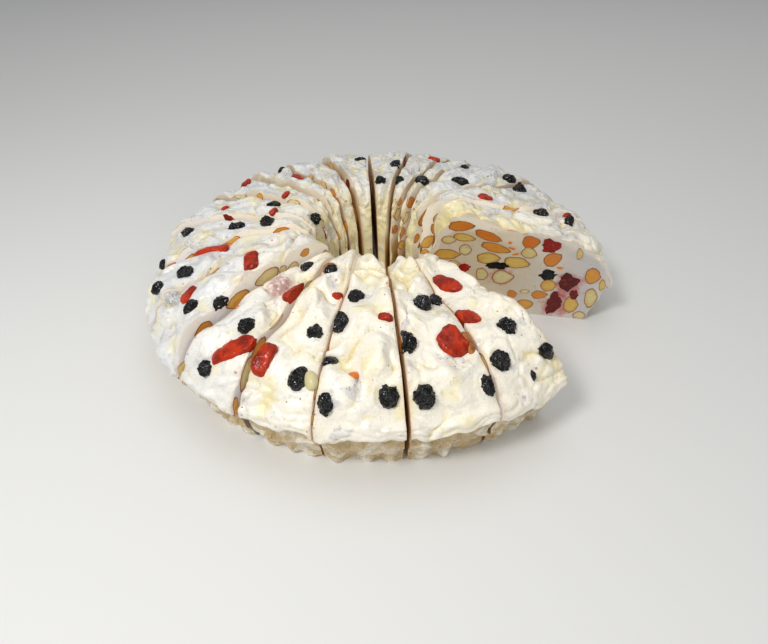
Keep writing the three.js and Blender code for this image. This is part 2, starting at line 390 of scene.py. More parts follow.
def crown_point(wedge, angle, part):
    """Radius, height and outward normal of the smooth crown."""
    radius, height, out, up = crown_curve(part)
    fade = soft_step(part, 0, LUMPS_FROM) * (1 - soft_step(part, LUMPS_TO, 1))
    lift = swell(angle, part * CROWN_LENGTH) * fade
    radius, height = radius + out * lift, height + up * lift
    top = soft_step(height, LIP_HEIGHT, CREST_HEIGHT - FULL_RISE_BELOW)
    across = wedge.across(angle)
    side = math.cos((wedge.start + wedge.end) / 2)
    lean = 2 * (RIGHT_LEAN if side > 0 else LEAN) * side * (0.5 - across)
    inner = wedge.inner_rise * (1 - soft_step(radius, *INNER_PART))
    near_peak = ((angle - PEAK_AT) / PEAK_REACH) ** 2 + ((radius - PEAK_RADIUS) / PEAK_WIDTH) ** 2
    height = height + top * (wedge.rise + inner + lean + END_PEAK * np.exp(-near_peak))
    height = height + scallop(angle) * (1 - soft_step(part, 0, SCALLOPED))
    from_cut = np.minimum(across, 1 - across) * (wedge.end - wedge.start) * radius
    height = height - top * EDGE_DROP * np.exp(-from_cut / EDGE_REACH)
    shoulder = 1 - soft_step(radius, HOLE_RADIUS, HOLE_RADIUS + SHOULDER)
    drawn = drawn_in(angle) * soft_step(radius, HOLE_RADIUS, RIM_RADIUS)
    return radius - drawn - wedge.hole_reach(angle) * shoulder, height, out, up


print("crest of a plain wedge:", round(float(crown_point(wedges[16], 4.6, 0.7)[1]) / MM), "mm")

# %% [markdown]
# ## Folds in the whipped skin
# Hot nougat is heaped with a spoon, so its skin is a field of soft cushions that press against each other.
# A Voronoi pattern has that form: each cell is one cushion, and its edge is the crease to the next. The
# distance to the edge, bent into a dome, gives the height, and each cell stands up by its own amount. The
# pattern is read at bent places, so that no crease runs straight. Smaller puffs lie over the cushions, and
# near the rim the skin hangs in ripples. The front is heaped high, and the rest of the ring is lower and
# more crinkled. The skin sinks a little round each fruit and laps against it.


# %% The fold rules
CUSHION_SIZE = 39 * MM
CUSHION_HEIGHT = 8 * MM
PUFF_SIZE = 15 * MM
PUFF_HEIGHT = 2.8 * MM
CRINKLE_SIZE = 7.5 * MM
CRINKLE_HEIGHT = 1.6 * MM
BROAD_SIZE = 60 * MM
BROAD_HEIGHT = 3 * MM
RIPPLE = Vector((40, 9.5, 1)) * MM
RIPPLE_HEIGHT = 4.2 * MM
RIPPLES_END = (20 * MM, 50 * MM)  # they fade out between these runs up from the lower edge
MEAN_LIFT = 0.62  # taken off, so that the cushions stand as much above the smooth crown as below it
CREASE_WIDTH = 0.04
CREASE_SPREAD = 0.06  # how far from a cushion's edge its crease colours the skin, in cells
LOBE_SPREAD = 0.05
DOME_REACH = 0.55  # a cushion is flat on top from this far inside its edge, in cells
DOME_POWER = 2.5
BENDS = ((0.6, 40 * MM), (0.22, 14 * MM))  # how far the pattern is pushed about, and over what size
CRISP_SIZE = 50 * MM  # the patches where the creases are sharp
BEHIND = (-110 * MM, 10 * MM)  # from the front to the back, along Y


def stacked(*parts):
    """Places from their three parts, which are spread to one shape first."""
    return np.stack(np.broadcast_arrays(*parts), axis=-1)


def perlin(places):
    """Noise, mostly between -0.6 and 0.6, at each place of an array."""
    flat = places.reshape(-1, 3).tolist()
    return np.array([noise.noise(place) for place in flat]).reshape(places.shape[:-1])


def bending(places):
    """A small push in x, y and z at each place: the same noise, read in three spots far apart."""
    spots = ((9.3, -1.5, -7.9), (0, 0, 0), (6.3, 0.2, -2.7))
    return np.stack([perlin(places + np.array(spot)) for spot in spots], axis=-1)


def lobed(values):
    """Rounded lobes with a narrow crease wherever the noise crosses zero."""
    return np.sqrt(values**2 + CREASE_WIDTH**2)


def cushions(places):
    """How far each place is from the edge of its cell, and a number from 0 to 1 for the whole cell."""
    near, own = [], []
    for place in places.reshape(-1, 3).tolist():
        distances, centres = noise.voronoi(place)
        near.append(distances[1] - distances[0])
        own.append(0.5 + 0.5 * noise.cell(7 * centres[0]))
    return (np.array(values).reshape(places.shape[:-1]) for values in (near, own))


def fold_height(places, angle, along):
    """How far the folds stand out of the smooth crown, and how deep in a crease each place is."""
    bend = sum(push * bending(places / size) for push, size in BENDS)
    edge, own = cushions(places / CUSHION_SIZE + bend)
    dome = 1 - (1 - np.minimum(edge / DOME_REACH, 1)) ** DOME_POWER
    behind = soft_step(places[..., 1], *BEHIND)
    crisp = 0.25 + 0.75 * soft_step(perlin(places / CRISP_SIZE + 7) + 0.25 * behind, -0.2, 0.25)
    dome = 1 - (1 - dome) * crisp
    height = CUSHION_HEIGHT * (1 - 0.5 * behind) * (dome * (0.75 + 0.5 * own) - MEAN_LIFT)
    puffs = lobed(perlin(places / PUFF_SIZE + 2 * bend))
    height = height + PUFF_HEIGHT * (1 - 0.3 * behind) * (puffs - 0.2)
    crinkles = lobed(perlin(places / CRINKLE_SIZE + 3 * bend))
    height = height + CRINKLE_HEIGHT * (0.2 + 0.8 * behind) * (crinkles - 0.2)
    height = height + BROAD_HEIGHT * perlin(places / BROAD_SIZE)
    at_rim = stacked(angle * RIM_RADIUS, along, 0)
    ripples = lobed(perlin(at_rim / np.array(RIPPLE) + 1.6 * bend))
    near_rim = 1 - soft_step(along, *RIPPLES_END)
    rippled = near_rim * (1 - 0.45 * behind)
    height = height * (1 - 0.6 * near_rim) + rippled * RIPPLE_HEIGHT * (ripples - 0.3)
    # hollow marks how deep each place lies in a crease; the skin finish uses it for painted shade
    hollow = crisp * np.exp(-edge / CREASE_SPREAD) + 0.5 * np.exp(-puffs / LOBE_SPREAD) * crisp
    hollow = hollow + 0.35 * behind * np.exp(-crinkles / LOBE_SPREAD)
    return height, hollow + 0.5 * near_rim * np.exp(-ripples / LOBE_SPREAD)


print("a cushion is about", round(CUSHION_SIZE / MM), "mm across")

# %% [markdown]
# ## Where the fruit lies
# Each fruit is a CAD node, so the frame says where it is. A BVH tree over all their faces answers how far
# any place is from the nearest fruit. The skin reads it to lie flat there and to rise a little round it.

# %% Measure the distance to the fruit
FRUIT_REACH = 14 * MM
SINKS = 0.8 * MM
fruit_names = [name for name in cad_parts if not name.startswith("slice")]


def fruit_tree():
    """The faces of all the fruit, in a tree that finds the nearest one quickly."""
    corners, faces = [], []
    for name in fruit_names:
        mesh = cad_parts[name].data
        faces += [[len(corners) + v for v in polygon.vertices] for polygon in mesh.polygons]
        corners += [v.co.copy() for v in mesh.vertices]
    return BVHTree.FromPolygons(corners, faces)


fruit_faces = fruit_tree()


def from_fruit(places):
    """The distance from each place to the nearest fruit, and FRUIT_REACH where there is none near."""
    found = (fruit_faces.find_nearest(place, FRUIT_REACH) for place in places.reshape(-1, 3).tolist())
    distances = [FRUIT_REACH if hit[0] is None else hit[3] for hit in found]
    return np.array(distances).reshape(places.shape[:-1])


print("fruit nodes:", len(fruit_names))

# %% [markdown]
# ## A wedge, row by row
# The outline of a wedge has four stretches: the pleated skirt, the tucked underside of the lip, the long
# crown, and the wall of the hole. `wedge_grid` works out every vertex of a wedge, as columns from one cut
# to the other and rows along the outline. It also keeps what the materials need to know about each place.

# %% The rows of the outline
COLUMNS = 54
SKIRT_ROWS = 26
LIP_ROWS = 6
CROWN_ROWS = 210
WALL_ROWS = 26
ROWS = SKIRT_ROWS + LIP_ROWS + CROWN_ROWS + WALL_ROWS
TUCK = 1.5 * MM  # the skirt's top lies this far above the crown's lower edge, and so does the lip's hollow
PLEAT_GAIN = 1.25  # the flutes stand out a little more than on the CAD model
SWAY_SIZE = 30 * MM
UNEVEN_SIZE = 21 * MM
CRUMPLE = 2 * MM
CRUMPLE_SIZES = (12 * MM, 6 * MM)
RIDGE = 3 * MM
RIDGE_AT, RIDGE_SPREAD, RIDGE_SIZE = 0.58, 0.08, 16 * MM
GROOVE = 1.6 * MM
GROOVE_AT, GROOVE_SPREAD = 0.95, 0.1
WALL_LUMP = 2.4 * MM
WALL_LUMP_SIZE = 9 * MM
LIP_DROOP = 8 * MM
DROOP_SIZE = 13 * MM
DROOP_PART = 0.06  # the waves of the lip fade out over this part of the crown
EDGE_FADE = 0.03  # and the folds over this part, down to its lower edge
LEAST_FOLDS = 0.12  # the share of the folds that is left on the fruit
LAP, LAP_AT, LAP_SPREAD = 0.5 * MM, 2 * MM, 1.4 * MM  # the skin's small rise round each fruit
HALO = 4 * MM
EDGE_SHADE_REACH = 1.3 * MM
SKIN, CUT_FACE, SKIRT, OPEN_CUT = range(4)  # the materials of a wedge
SMOOTH_BELOW = math.radians(48)
OPEN_CALM = math.radians(6)  # the knife has smoothed the lip this far from the open cut
OPEN_SMOOTHED = 0.8  # the share of its folds that is gone there
OPEN_PART = (0.1, 0.25)  # and the folds come back over this part of the crown


def bell(x, middle, spread):
    """A smooth bump: 1 in the middle and next to nothing beyond twice its spread."""
    return np.exp(-(((x - middle) / spread) ** 2))


def polar(radius, angle, height):
    return stacked(radius * np.cos(angle), radius * np.sin(angle), height)


def skirt_stretch(wedge, across, angle):
    """The fluted skirt: uneven flutes, a wavy ridge half way up and a groove under the lip."""
    up = np.linspace(0, 1, SKIRT_ROWS)[None, :]
    flutes = round((wedge.end - wedge.start) * SKIRT_RADIUS / PLEAT_PITCH)
    sway = perlin(stacked(angle * SKIRT_RADIUS / SWAY_SIZE, 0.6 * up, 3))
    uneven = 0.75 + 0.9 * perlin(stacked(angle * SKIRT_RADIUS / UNEVEN_SIZE, 0.8 * up, 8))
    flute = -uneven * np.cos(math.tau * flutes * across + 2.2 * sway * np.sin(math.pi * across))
    radius = SKIRT_RADIUS - drawn_in(angle) + SKIRT_FLARE * up
    height = up * (LIP_HEIGHT + scallop(angle) + TUCK)
    skin = polar(radius, angle, height)
    large, small = (perlin(skin / size) for size in CRUMPLE_SIZES)
    crumple = large + 0.7 * lobed(small) - 0.15
    ridge_at = RIDGE_AT + 0.14 * flute + 0.4 * sway
    ridge = RIDGE * bell(up, ridge_at, RIDGE_SPREAD) * (0.6 + perlin(skin / RIDGE_SIZE + 4))
    groove = GROOVE * bell(up, GROOVE_AT, GROOVE_SPREAD)
    radius = radius + PLEAT_GAIN * PLEAT_DEPTH * flute * (1 - 0.25 * up)
    radius = radius + CRUMPLE * crumple + ridge - groove
    # crest is the mask for the skirt's painted highlight on flute crests and the ridge; groove is the mask
    # for the lip's painted shadow
    crest = flute * (1 - up) + up * (ridge / RIDGE * 2 - 1)
    return radius, height, crest, groove / GROOVE + 0 * flute


def lip_stretch(skirt_top, crown_start):
    """The underside of the lip, hollowed a little, from the skirt's top to the crown's lower edge."""
    out = np.linspace(0, 1, LIP_ROWS + 2)[None, 1:-1]
    radius, height = (a[:, -1:] + (b[:, :1] - a[:, -1:]) * out for a, b in zip(skirt_top, crown_start))
    return radius, height + TUCK * np.sin(math.pi * out)


def crown_stretch(wedge, across, angle):
    """The crown with its folds and a lower edge that hangs in waves, and what each place is like."""
    part = np.linspace(0, 1, CROWN_ROWS)[None, :] + 0 * across
    radius, height, out, up = crown_point(wedge, angle, part)
    places = polar(radius, angle, height)
    folds, hollow = fold_height(places, angle, part * CROWN_LENGTH)
    gap = from_fruit(places)
    calm = LEAST_FOLDS + (1 - LEAST_FOLDS) * soft_step(gap, 0, FRUIT_REACH)
    lap = LAP * bell(gap, LAP_AT, LAP_SPREAD)
    near_open = 1 - soft_step(angle - wedges[0].start, 0, OPEN_CALM)
    calm = calm * (1 - OPEN_SMOOTHED * near_open * (1 - soft_step(part, *OPEN_PART)))
    fade = soft_step(part, 0, EDGE_FADE)
    lift = folds * calm * fade + lap - SINKS * (1 - calm) * fade
    waves = lobed(perlin(stacked(angle * RIM_RADIUS / DROOP_SIZE, 4, 0)))
    droop = LIP_DROOP * waves * (1 - soft_step(part, 0, DROOP_PART)) * (1 - near_open)
    traits = {"hollow": hollow * calm, "halo": np.exp(-gap / HALO)}
    return radius + out * lift, height + up * lift - droop, traits


def wall_stretch(wedge, angle, crown_end):
    """The wall of the hole, where the nougat stuck to the mould's funnel."""
    down = np.linspace(0, 1, WALL_ROWS + 1)[None, 1:]
    foot = HOLE_RADIUS - 1 * MM - wedge.hole_reach(angle)
    radius = crown_end[0][:, -1:] + (foot - crown_end[0][:, -1:]) * down
    height = crown_end[1][:, -1:] * (1 - down)
    lumps = perlin(polar(radius, angle, height) / WALL_LUMP_SIZE) * np.sin(math.pi * down)
    return radius + WALL_LUMP * lumps, height


def wedge_grid(wedge):
    """The places of all vertices, as columns by rows, and a dict of traits for the materials."""
    across = np.linspace(0, 1, COLUMNS + 1)[:, None]
    angle = wedge.start + across * (wedge.end - wedge.start)
    skirt = skirt_stretch(wedge, across, angle)
    crown = crown_stretch(wedge, across, angle)
    lip = lip_stretch(skirt[:2], crown[:2])
    wall = wall_stretch(wedge, angle, crown[:2])
    radius, height = (np.concatenate(rows, axis=1) for rows in zip(skirt[:2], lip, crown[:2], wall))
    places = polar(radius, wedge.angle(across, radius), height)
    from_cut = np.minimum(across, 1 - across) * (wedge.end - wedge.start) * radius
    traits = {name: np.zeros_like(radius) for name in ("hollow", "halo")}
    for name, values in crown[2].items():
        traits[name][:, SKIRT_ROWS + LIP_ROWS : ROWS - WALL_ROWS] = values
    # painted shade: this trait tints the skin darker yellow-brown along each cut, for the shaded slit walls
    traits["edge"] = np.exp(-from_cut / EDGE_SHADE_REACH)
    # the lip's underside gets 0.8 for both, so it is painted in the lip's shadow and painted paler as on
    # the crests
    for name, values in zip(("flute", "groove"), skirt[2:]):
        traits[name] = np.concatenate([values, np.full((COLUMNS + 1, ROWS - SKIRT_ROWS), 0.8)], axis=1)
    return places, traits


print("a wedge has", ROWS, "rows by", COLUMNS + 1, "columns")

# %% [markdown]
# ## Spinning a wedge
# By hand, a wedge is one filled outline spun about the ring's axis. A circle with one corner for each row
# is drawn upright, and the Spin operator turns it through the wedge's angle. That gives a closed body with
# a flat face at each cut. Its vertices come column by column, so the grid is then laid onto them.


# %% Helpers for modelling
def select_only(piece):
    bpy.ops.object.select_all(action="DESELECT")
    piece.select_set(True)
    bpy.context.view_layer.objects.active = piece


def lay_vertices(mesh, places):
    mesh.vertices.foreach_set("co", np.asarray(places, dtype=np.float32).ravel())
    mesh.update()


def keep_trait(mesh, name, values):
    """Stores one number for each vertex, for a material to read."""
    layer = mesh.attributes.new(name, "FLOAT", "POINT")
    layer.data.foreach_set("value", np.asarray(values, dtype=np.float32).ravel())


def spun_wedge(wedge, name):
    """A closed wedge, made by spinning a filled outline from one cut to the other."""
    bpy.ops.object.select_all(action="DESELECT")
    upright = (math.pi / 2, 0, wedge.start)
    middle = polar(HOLE_RADIUS * 2, wedge.start, CREST_HEIGHT / 2)
    bpy.ops.mesh.primitive_circle_add(
        vertices=ROWS, radius=CREST_HEIGHT / 2, fill_type="NGON", location=middle, rotation=upright
    )
    piece = bpy.context.object
    piece.name = piece.data.name = name
    bpy.ops.object.transform_apply()
    bpy.ops.object.mode_set(mode="EDIT")
    bpy.ops.mesh.select_all(action="SELECT")
    turn = wedge.end - wedge.start
    bpy.ops.mesh.spin(steps=COLUMNS, angle=turn, center=(0, 0, 0), axis=(0, 0, -1))
    bpy.ops.object.mode_set(mode="OBJECT")
    return piece


def finish_wedge(piece, wedge):
    """Lays the grid on a spun wedge and gives each face its finish: skin, cut face or skirt."""
    places, traits = wedge_grid(wedge)
    lay_vertices(piece.data, places)
    for name, values in traits.items():
        keep_trait(piece.data, name, values)
    for polygon in piece.data.polygons:
        rows = [v % ROWS for v in polygon.vertices]
        low = max(rows) < SKIRT_ROWS + LIP_ROWS or max(rows) - min(rows) > 1
        closes_a_cut = len(rows) == ROWS
        polygon.material_index = CUT_FACE if closes_a_cut else SKIRT if low else SKIN
    select_only(piece)
    bpy.ops.object.mode_set(mode="EDIT")
    bpy.ops.mesh.select_all(action="SELECT")
    bpy.ops.mesh.normals_make_consistent(inside=False)
    bpy.ops.object.mode_set(mode="OBJECT")
    bpy.ops.object.shade_smooth_by_angle(angle=SMOOTH_BELOW)


# %% Make the nineteen wedges
wedge_pieces = []
for number, wedge in enumerate(wedges, 1):
    piece = spun_wedge(wedge, f"nougat_wedge_{number:02d}")
    finish_wedge(piece, wedge)
    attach(piece, "root")
    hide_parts(wedge.name)
    wedge_pieces.append(piece)
print("wedges:", len(wedge_pieces), "faces each:", len(wedge_pieces[0].data.polygons))

# %% [markdown]
# ## The studio
# A plain pale floor under a very large soft light, with a smaller key light high on the left. The key
# rakes over the folds and shows their form, and a weak warm light in front keeps the near side creamy.

# %% Floor and lights
FLOOR_SIZE = 6
FLOOR_COLOUR = srgb(226, 226, 224)
SKY_COLOUR = srgb(236, 238, 240)
SKY_STRENGTH = 0.4
AIM = Vector((0, 0, 40)) * MM  # the lights face the middle of the cake

floor_finish = Finish("pale_floor", roughness=0.6)
floor_finish.set(Base_Color=FLOOR_COLOUR)
bpy.ops.object.select_all(action="DESELECT")
bpy.ops.mesh.primitive_plane_add(size=FLOOR_SIZE, location=(0, 0, 0))
floor = bpy.context.object
floor.name = "studio_floor"
floor.data.materials.append(floor_finish.material)


def soft_light(name, place, size, watts, colour):
    """A square area light that faces the cake."""
    data = bpy.data.lights.new(name, "AREA")
    data.shape, data.size, data.energy, data.color = "SQUARE", size, watts, colour
    light = bpy.data.objects.new(name, data)
    bpy.context.collection.objects.link(light)
    light.location = place
    light.rotation_euler = (AIM - light.location).to_track_quat("-Z", "Y").to_euler()


soft_light("overhead", (0, 0.5, 2.4), 2.2, 15, (1, 0.99, 0.97))
soft_light("key", (-0.4, -0.5, 0.8), 0.22, 4.7, (1, 0.99, 0.97))
soft_light("front", (0.3, -1.0, 0.45), 0.25, 1.5, (1, 0.97, 0.93))

world = bpy.data.worlds.new("studio")
world.use_nodes = True
sky = world.node_tree.nodes["Background"]
sky.inputs["Color"].default_value = (*SKY_COLOUR, 1)
sky.inputs["Strength"].default_value = SKY_STRENGTH
bpy.context.scene.world = world
bpy.context.scene.view_settings.view_transform = "Standard"
print("lights:", [light.name for light in bpy.data.lights])

# %% [markdown]
# ## The finish of the skin
# Whipped nougat is cream to cool white, softly glossy and a little translucent. The warmer cream in front
# is painted warm light; round the hole the warmer tone is the nougat's own. The deeper yellow in the
# creases and along the cuts is painted shade, and it is greyish where it is thin over fruit. Fine brown and
# red specks and small pits break it up. The noise reads Object coordinates, and the traits of the grid
# arrive through Attribute nodes.

# %% Skin colours and nodes
CREAM = srgb(250, 243, 227)
BUTTER = srgb(241, 227, 168)
COOL_WHITE = srgb(226, 227, 227)
CREASE_SHADE_YELLOW = srgb(229, 212, 142)
CARAMEL_AND_EDGE_SHADE = srgb(205, 160, 95)
THIN_SKIN = srgb(214, 212, 211)
CRACKED = srgb(138, 124, 118)
BROWN_SPECK = srgb(70, 38, 28)
RED_SPECK = srgb(170, 60, 40)
PINK_STAIN = srgb(176, 112, 116)
WORN_GREY = srgb(150, 144, 142)
SKIN_SOAK = (1.0, 0.9, 0.55)
NOUGAT_SOAK = (1.0, 0.75, 0.45)
SOAK_DEPTH = 4 * MM
OPEN_ANGLE = wedges[0].start


def specks(finish, spacing, radius, rarity):
    """A mask of round dots: the cells whose random number is above rarity have one."""
    near = 1 - finish.cells(spacing).above(radius / spacing, 1.4 * radius / spacing)
    return near * finish.cells(spacing, "Color").above(rarity, rarity + 0.01)


def blot(finish, place, reach):
    """A ragged stain round a place: 1 in its middle and 0 beyond its reach."""
    ends = {0: finish.place(), 1: place}
    away = finish.node("ShaderNodeVectorMath", {"operation": "DISTANCE"}, ends, "Value")
    ragged = (finish.noise(6 * MM, detail=4) - 0.5) * reach * 1.6
    return 1 - (away + ragged).above(0.35 * reach, reach)


STAIN_PLACE = Vector((-66, -89, 78)) * MM  # where juice shows through the skin
WORN_PLACE = Vector((-144, -86, 66)) * MM  # where the skin has torn over fruit


def skin_finish():
    skin = Finish("whipped_nougat", roughness=0.4, Coat_Roughness=0.2, Coat_Weight=0.25)
    skin.soften(0.15, SOAK_DEPTH, SKIN_SOAK)
    apart = skin.node("ShaderNodeSeparateXYZ", {}, {"Vector": skin.place()})
    out = skin.node("ShaderNodeVectorMath", {"operation": "LENGTH"}, {0: skin.place()}, "Value")
    front = (1 - apart.part("Y").above(-130 * MM, 20 * MM)) * apart.part("X").above(-150 * MM, -50 * MM)
    at_gap = apart.part("X").above(50 * MM, 110 * MM) * (1 - apart.part("Y").above(-30 * MM, 50 * MM))
    coarse = (apart.part("Y") + (out - 60 * MM) * 0.4).above(10 * MM, 130 * MM)
    by_hole = 1 - out.above(80 * MM, 150 * MM)
    off_cut = apart.part("Y") * math.cos(OPEN_ANGLE) - apart.part("X") * math.sin(OPEN_ANGLE)
    strip = off_cut.above(-3 * MM, 0) - off_cut.above(5 * MM, 24 * MM)
    strip = strip * apart.part("X").above(40 * MM, 60 * MM) * (1 - out.above(120 * MM, 160 * MM))
    patches = skin.noise(45 * MM, detail=3)
    # painted warm light: the front mask makes the near side warmer cream, while the patches and the hole
    # give the nougat's own tone
    warm = patches.above(0.35, 0.7) * 0.35 + front * 0.7 + at_gap * 0.7 + by_hole * 0.35
    warm = warm.above(0.1, 0.95)
    colour = skin.mix(warm, COOL_WHITE, CREAM)
    colour = skin.mix(skin.noise(19 * MM, detail=4).above(0.5, 0.72) * 0.6, colour, BUTTER)
    # painted shade: the creases are painted deeper yellow
    colour = skin.mix(skin.attribute("hollow").above(0.1, 1.0) * 0.7, colour, CREASE_SHADE_YELLOW)
    inner = (1 - out.above(65 * MM, 125 * MM)) * (1 - coarse)
    colour = skin.mix(strip * 0.7 + inner * 0.8, colour, BUTTER)
    thin = (skin.noise(17 * MM, detail=4, bend=0.5) - front * 0.05).above(0.55, 0.63)
    colour = skin.mix(thin * 0.7 + skin.attribute("halo") * 0.1, colour, THIN_SKIN)
    cracks = (0.3 + 0.7 * thin + 0.5 * coarse) * skin.noise(3 * MM, detail=4, rough=0.6).above(0.57, 0.69)
    colour = skin.mix(cracks * 0.6, colour, CRACKED)
    worn = blot(skin, WORN_PLACE, 11 * MM) * skin.noise(2.2 * MM, detail=4).above(0.42, 0.56)
    colour = skin.mix(worn * 0.6, colour, WORN_GREY)
    stained = blot(skin, STAIN_PLACE, 13 * MM) * skin.noise(2.5 * MM, detail=3).above(0.25, 0.55)
    colour = skin.mix(stained * 0.8, colour, PINK_STAIN)
    # painted shade along the cuts, where the slit walls are in shade
    colour = skin.mix(skin.attribute("edge") * 0.4, colour, CARAMEL_AND_EDGE_SHADE)
    colour = skin.mix(specks(skin, 6 * MM, 0.45 * MM, 0.68) * 0.8, colour, BROWN_SPECK)
    colour = skin.mix(specks(skin, 9 * MM, 0.8 * MM, 0.7) * 0.6, colour, RED_SPECK)
    skin.set(Base_Color=colour, Roughness=0.2 + 0.3 * skin.noise(12 * MM, detail=3))
    pits = specks(skin, 4.5 * MM, 0.8 * MM, 0.62) * skin.noise(30 * MM).above(0.48, 0.6)
    skin.relief(
        (skin.noise(10 * MM, detail=4), 2.4 * MM),
        (skin.noise(2.6 * MM, detail=3) * (0.3 + 0.7 * thin + 0.6 * coarse), 0.9 * MM),
        (1 - pits - worn, 0.5 * MM),
    )
    return skin.material


skin_material = skin_finish()
print("nodes in the skin:", len(skin_material.node_tree.nodes))

# %% [markdown]
# ## The finish of the cut faces
# The knife leaves the inside smooth and close: beige near the hole and lilac-grey towards the rim, with
# tiny bubbles and faint drag marks. The faces inside the slits are paler, since light soaks through the
# thin slices. A little Emission stands in for it, and fades with depth. Deeper in a slit the faces are
# painted dark brown as painted shade. In the straight cuts in front and behind, syrup has run down the
# faces. How deep a place lies is the skin's height there less its own.

# %% Cut face colours and nodes
CUT_WARM = srgb(203, 188, 160)
CUT_LILAC = srgb(192, 187, 184)
CUT_PALE = srgb(224, 214, 196)
SLIT_WARM = srgb(222, 215, 202)
SLIT_LILAC = srgb(207, 203, 206)
SLIT_DEPTH_SHADE = srgb(136, 110, 78)
SYRUP = srgb(200, 156, 92)
SLIT_TAN = srgb(192, 168, 120)
GLOW = 0.24
STAIN = srgb(176, 62, 58)
# The skin's radius and height in mm, from the hole to the rim
SKIN_HEIGHTS = [(47, 42), (52, 65), (62, 77), (105, 80), (148, 73), (175, 62), (189, 45), (192, 30)]
FULL_SCALE = 200 * MM


def cut_finish(name, warm, lilac, in_slit, stains=()):
    cut = Finish(name, roughness=0.5, Coat_Weight=0.1, Coat_Roughness=0.35)
    cut.soften(0.12, SOAK_DEPTH, NOUGAT_SOAK)
    apart = cut.node("ShaderNodeSeparateXYZ", {}, {"Vector": cut.place()})
    flat = cut.node("ShaderNodeCombineXYZ", {}, {"X": apart.part("X"), "Y": apart.part("Y")})
    out = cut.node("ShaderNodeVectorMath", {"operation": "LENGTH"}, {0: flat}, "Value")
    stops = [(r * MM / FULL_SCALE, (z * MM / FULL_SCALE,) * 3) for r, z in SKIN_HEIGHTS]
    crest = cut.node("ShaderNodeValToRGB", {"stops": stops}, {"Fac": out * (1 / FULL_SCALE)})
    deep = crest * FULL_SCALE - apart.part("Z")
    colour = cut.mix(out.above(90 * MM, 180 * MM), warm, lilac)
    colour = cut.mix(cut.noise(30 * MM, detail=3).above(0.4, 0.75) * 0.5, colour, CUT_PALE)
    colour = cut.mix((1 - deep.above(0, 5 * MM)) * 0.35, colour, CREAM)
    colour = cut.mix(specks(cut, 7 * MM, 0.5 * MM, 0.66) * 0.5, colour, CARAMEL_AND_EDGE_SHADE)
    for place, reach in stains:
        colour = cut.mix(blot(cut, place, reach) * 0.75, colour, STAIN)
    if in_slit:
        sideways = apart.part("X").math("ABSOLUTE", apart.part("X"))
        straight = 1 - (sideways - out * 0.3).above(0, 30 * MM)
        behind = apart.part("Y").above(0, 90 * MM)
        runs = cut.noise(16 * MM, detail=3) * 0.6 + 0.55
        colour = cut.mix(behind * 0.5, colour, SLIT_TAN)
        # painted shade: the slit faces are painted darker brown the deeper they lie
        colour = cut.mix(deep.above(12 * MM, 34 * MM) * 0.8, colour, SLIT_DEPTH_SHADE)
        colour = cut.mix(straight * deep.above(-2 * MM, 8 * MM) * runs, colour, SYRUP)
        glow = (1 - deep.above(6 * MM, 24 * MM)) * (1 - 0.35 * straight) * (1 - 0.75 * behind)
        cut.set(Emission_Color=cut.mix(glow, (0, 0, 0), colour), Emission_Strength=GLOW)
    cut.set(Base_Color=colour, Roughness=0.42 + 0.2 * cut.noise(8 * MM))
    cut.relief(
        (cut.noise(12 * MM, detail=4), 1.0 * MM),
        (1 - specks(cut, 3.2 * MM, 0.5 * MM, 0.6), 0.35 * MM),
    )
    return cut.material


# Where fruit has bled into the open face: radius, height and reach in mm
STAINS = ((158, 33, 15), (152, 12, 15), (104, 36, 12))
stain_places = [
    (Vector((r * math.cos(OPEN_ANGLE), r * math.sin(OPEN_ANGLE), z)) * MM, reach * MM)
    for r, z, reach in STAINS
]
open_cut_material = cut_finish("open_cut", CUT_WARM, CUT_LILAC, in_slit=False, stains=stain_places)
slit_material = cut_finish("slit_face", SLIT_WARM, SLIT_LILAC, in_slit=True)

# %% [markdown]
# ## The finish of the skirt
# Below the crown the nougat was pressed against the fluted mould, so it is closed, smooth and glossy. It
# is tan, with pale facets and mottling of its own. The crests of the flutes and the wavy ridge are painted
# paler as painted highlight, the valleys stay tan as painted shade, and under the lip it is painted deepest
# in colour as the lip's painted shadow.

# %% Skirt colours and nodes
SKIRT_TAN = srgb(194, 165, 108)
SKIRT_PALE = srgb(240, 232, 214)
SKIRT_LIP_SHADOW = srgb(158, 124, 70)


def skirt_finish():
    skirt = Finish("moulded_skirt", roughness=0.3, Coat_Weight=0.9, Coat_Roughness=0.08)
    skirt.soften(0.12, SOAK_DEPTH, NOUGAT_SOAK)
    # painted highlight on the crests of the flutes and the ridge, and painted shade in the valleys
    crest = skirt.attribute("flute").above(-0.5, 1)
    mottle = skirt.noise(9 * MM, detail=4, bend=0.6)
    facets = skirt.noise(18 * MM, detail=2, bend=0.8).above(0.46, 0.56)
    pale = facets * 0.45 + crest * 0.45 + mottle.above(0.42, 0.7) * 0.25
    colour = skirt.mix(pale.above(0.1, 1), SKIRT_TAN, SKIRT_PALE)
    # painted shadow of the lip: the skirt is painted deeper brown under it
    colour = skirt.mix(skirt.attribute("groove") * 0.6, colour, SKIRT_LIP_SHADOW)
    colour = skirt.mix(specks(skirt, 8 * MM, 0.7 * MM, 0.68) * 0.5, colour, BROWN_SPECK)
    skirt.set(Base_Color=colour, Roughness=0.15 + 0.25 * mottle)
    skirt.relief((skirt.noise(6 * MM, detail=3, bend=0.8), 3 * MM))
    return skirt.material


skirt_material = skirt_finish()
for piece in wedge_pieces:
    for material in (skin_material, slit_material, skirt_material):
        piece.data.materials.append(material)
print("wedges with finishes:", len(wedge_pieces))

# %% [markdown]
# ## The open cut faces
# Two faces look out into the missing portion: where the first wedge starts and where the last one ends.
# No syrup ran over them and they don't glow, so they get a finish of their own. It goes in as a fourth
# material on those two wedges, and the one big face that closes the wedge at that end is given it.

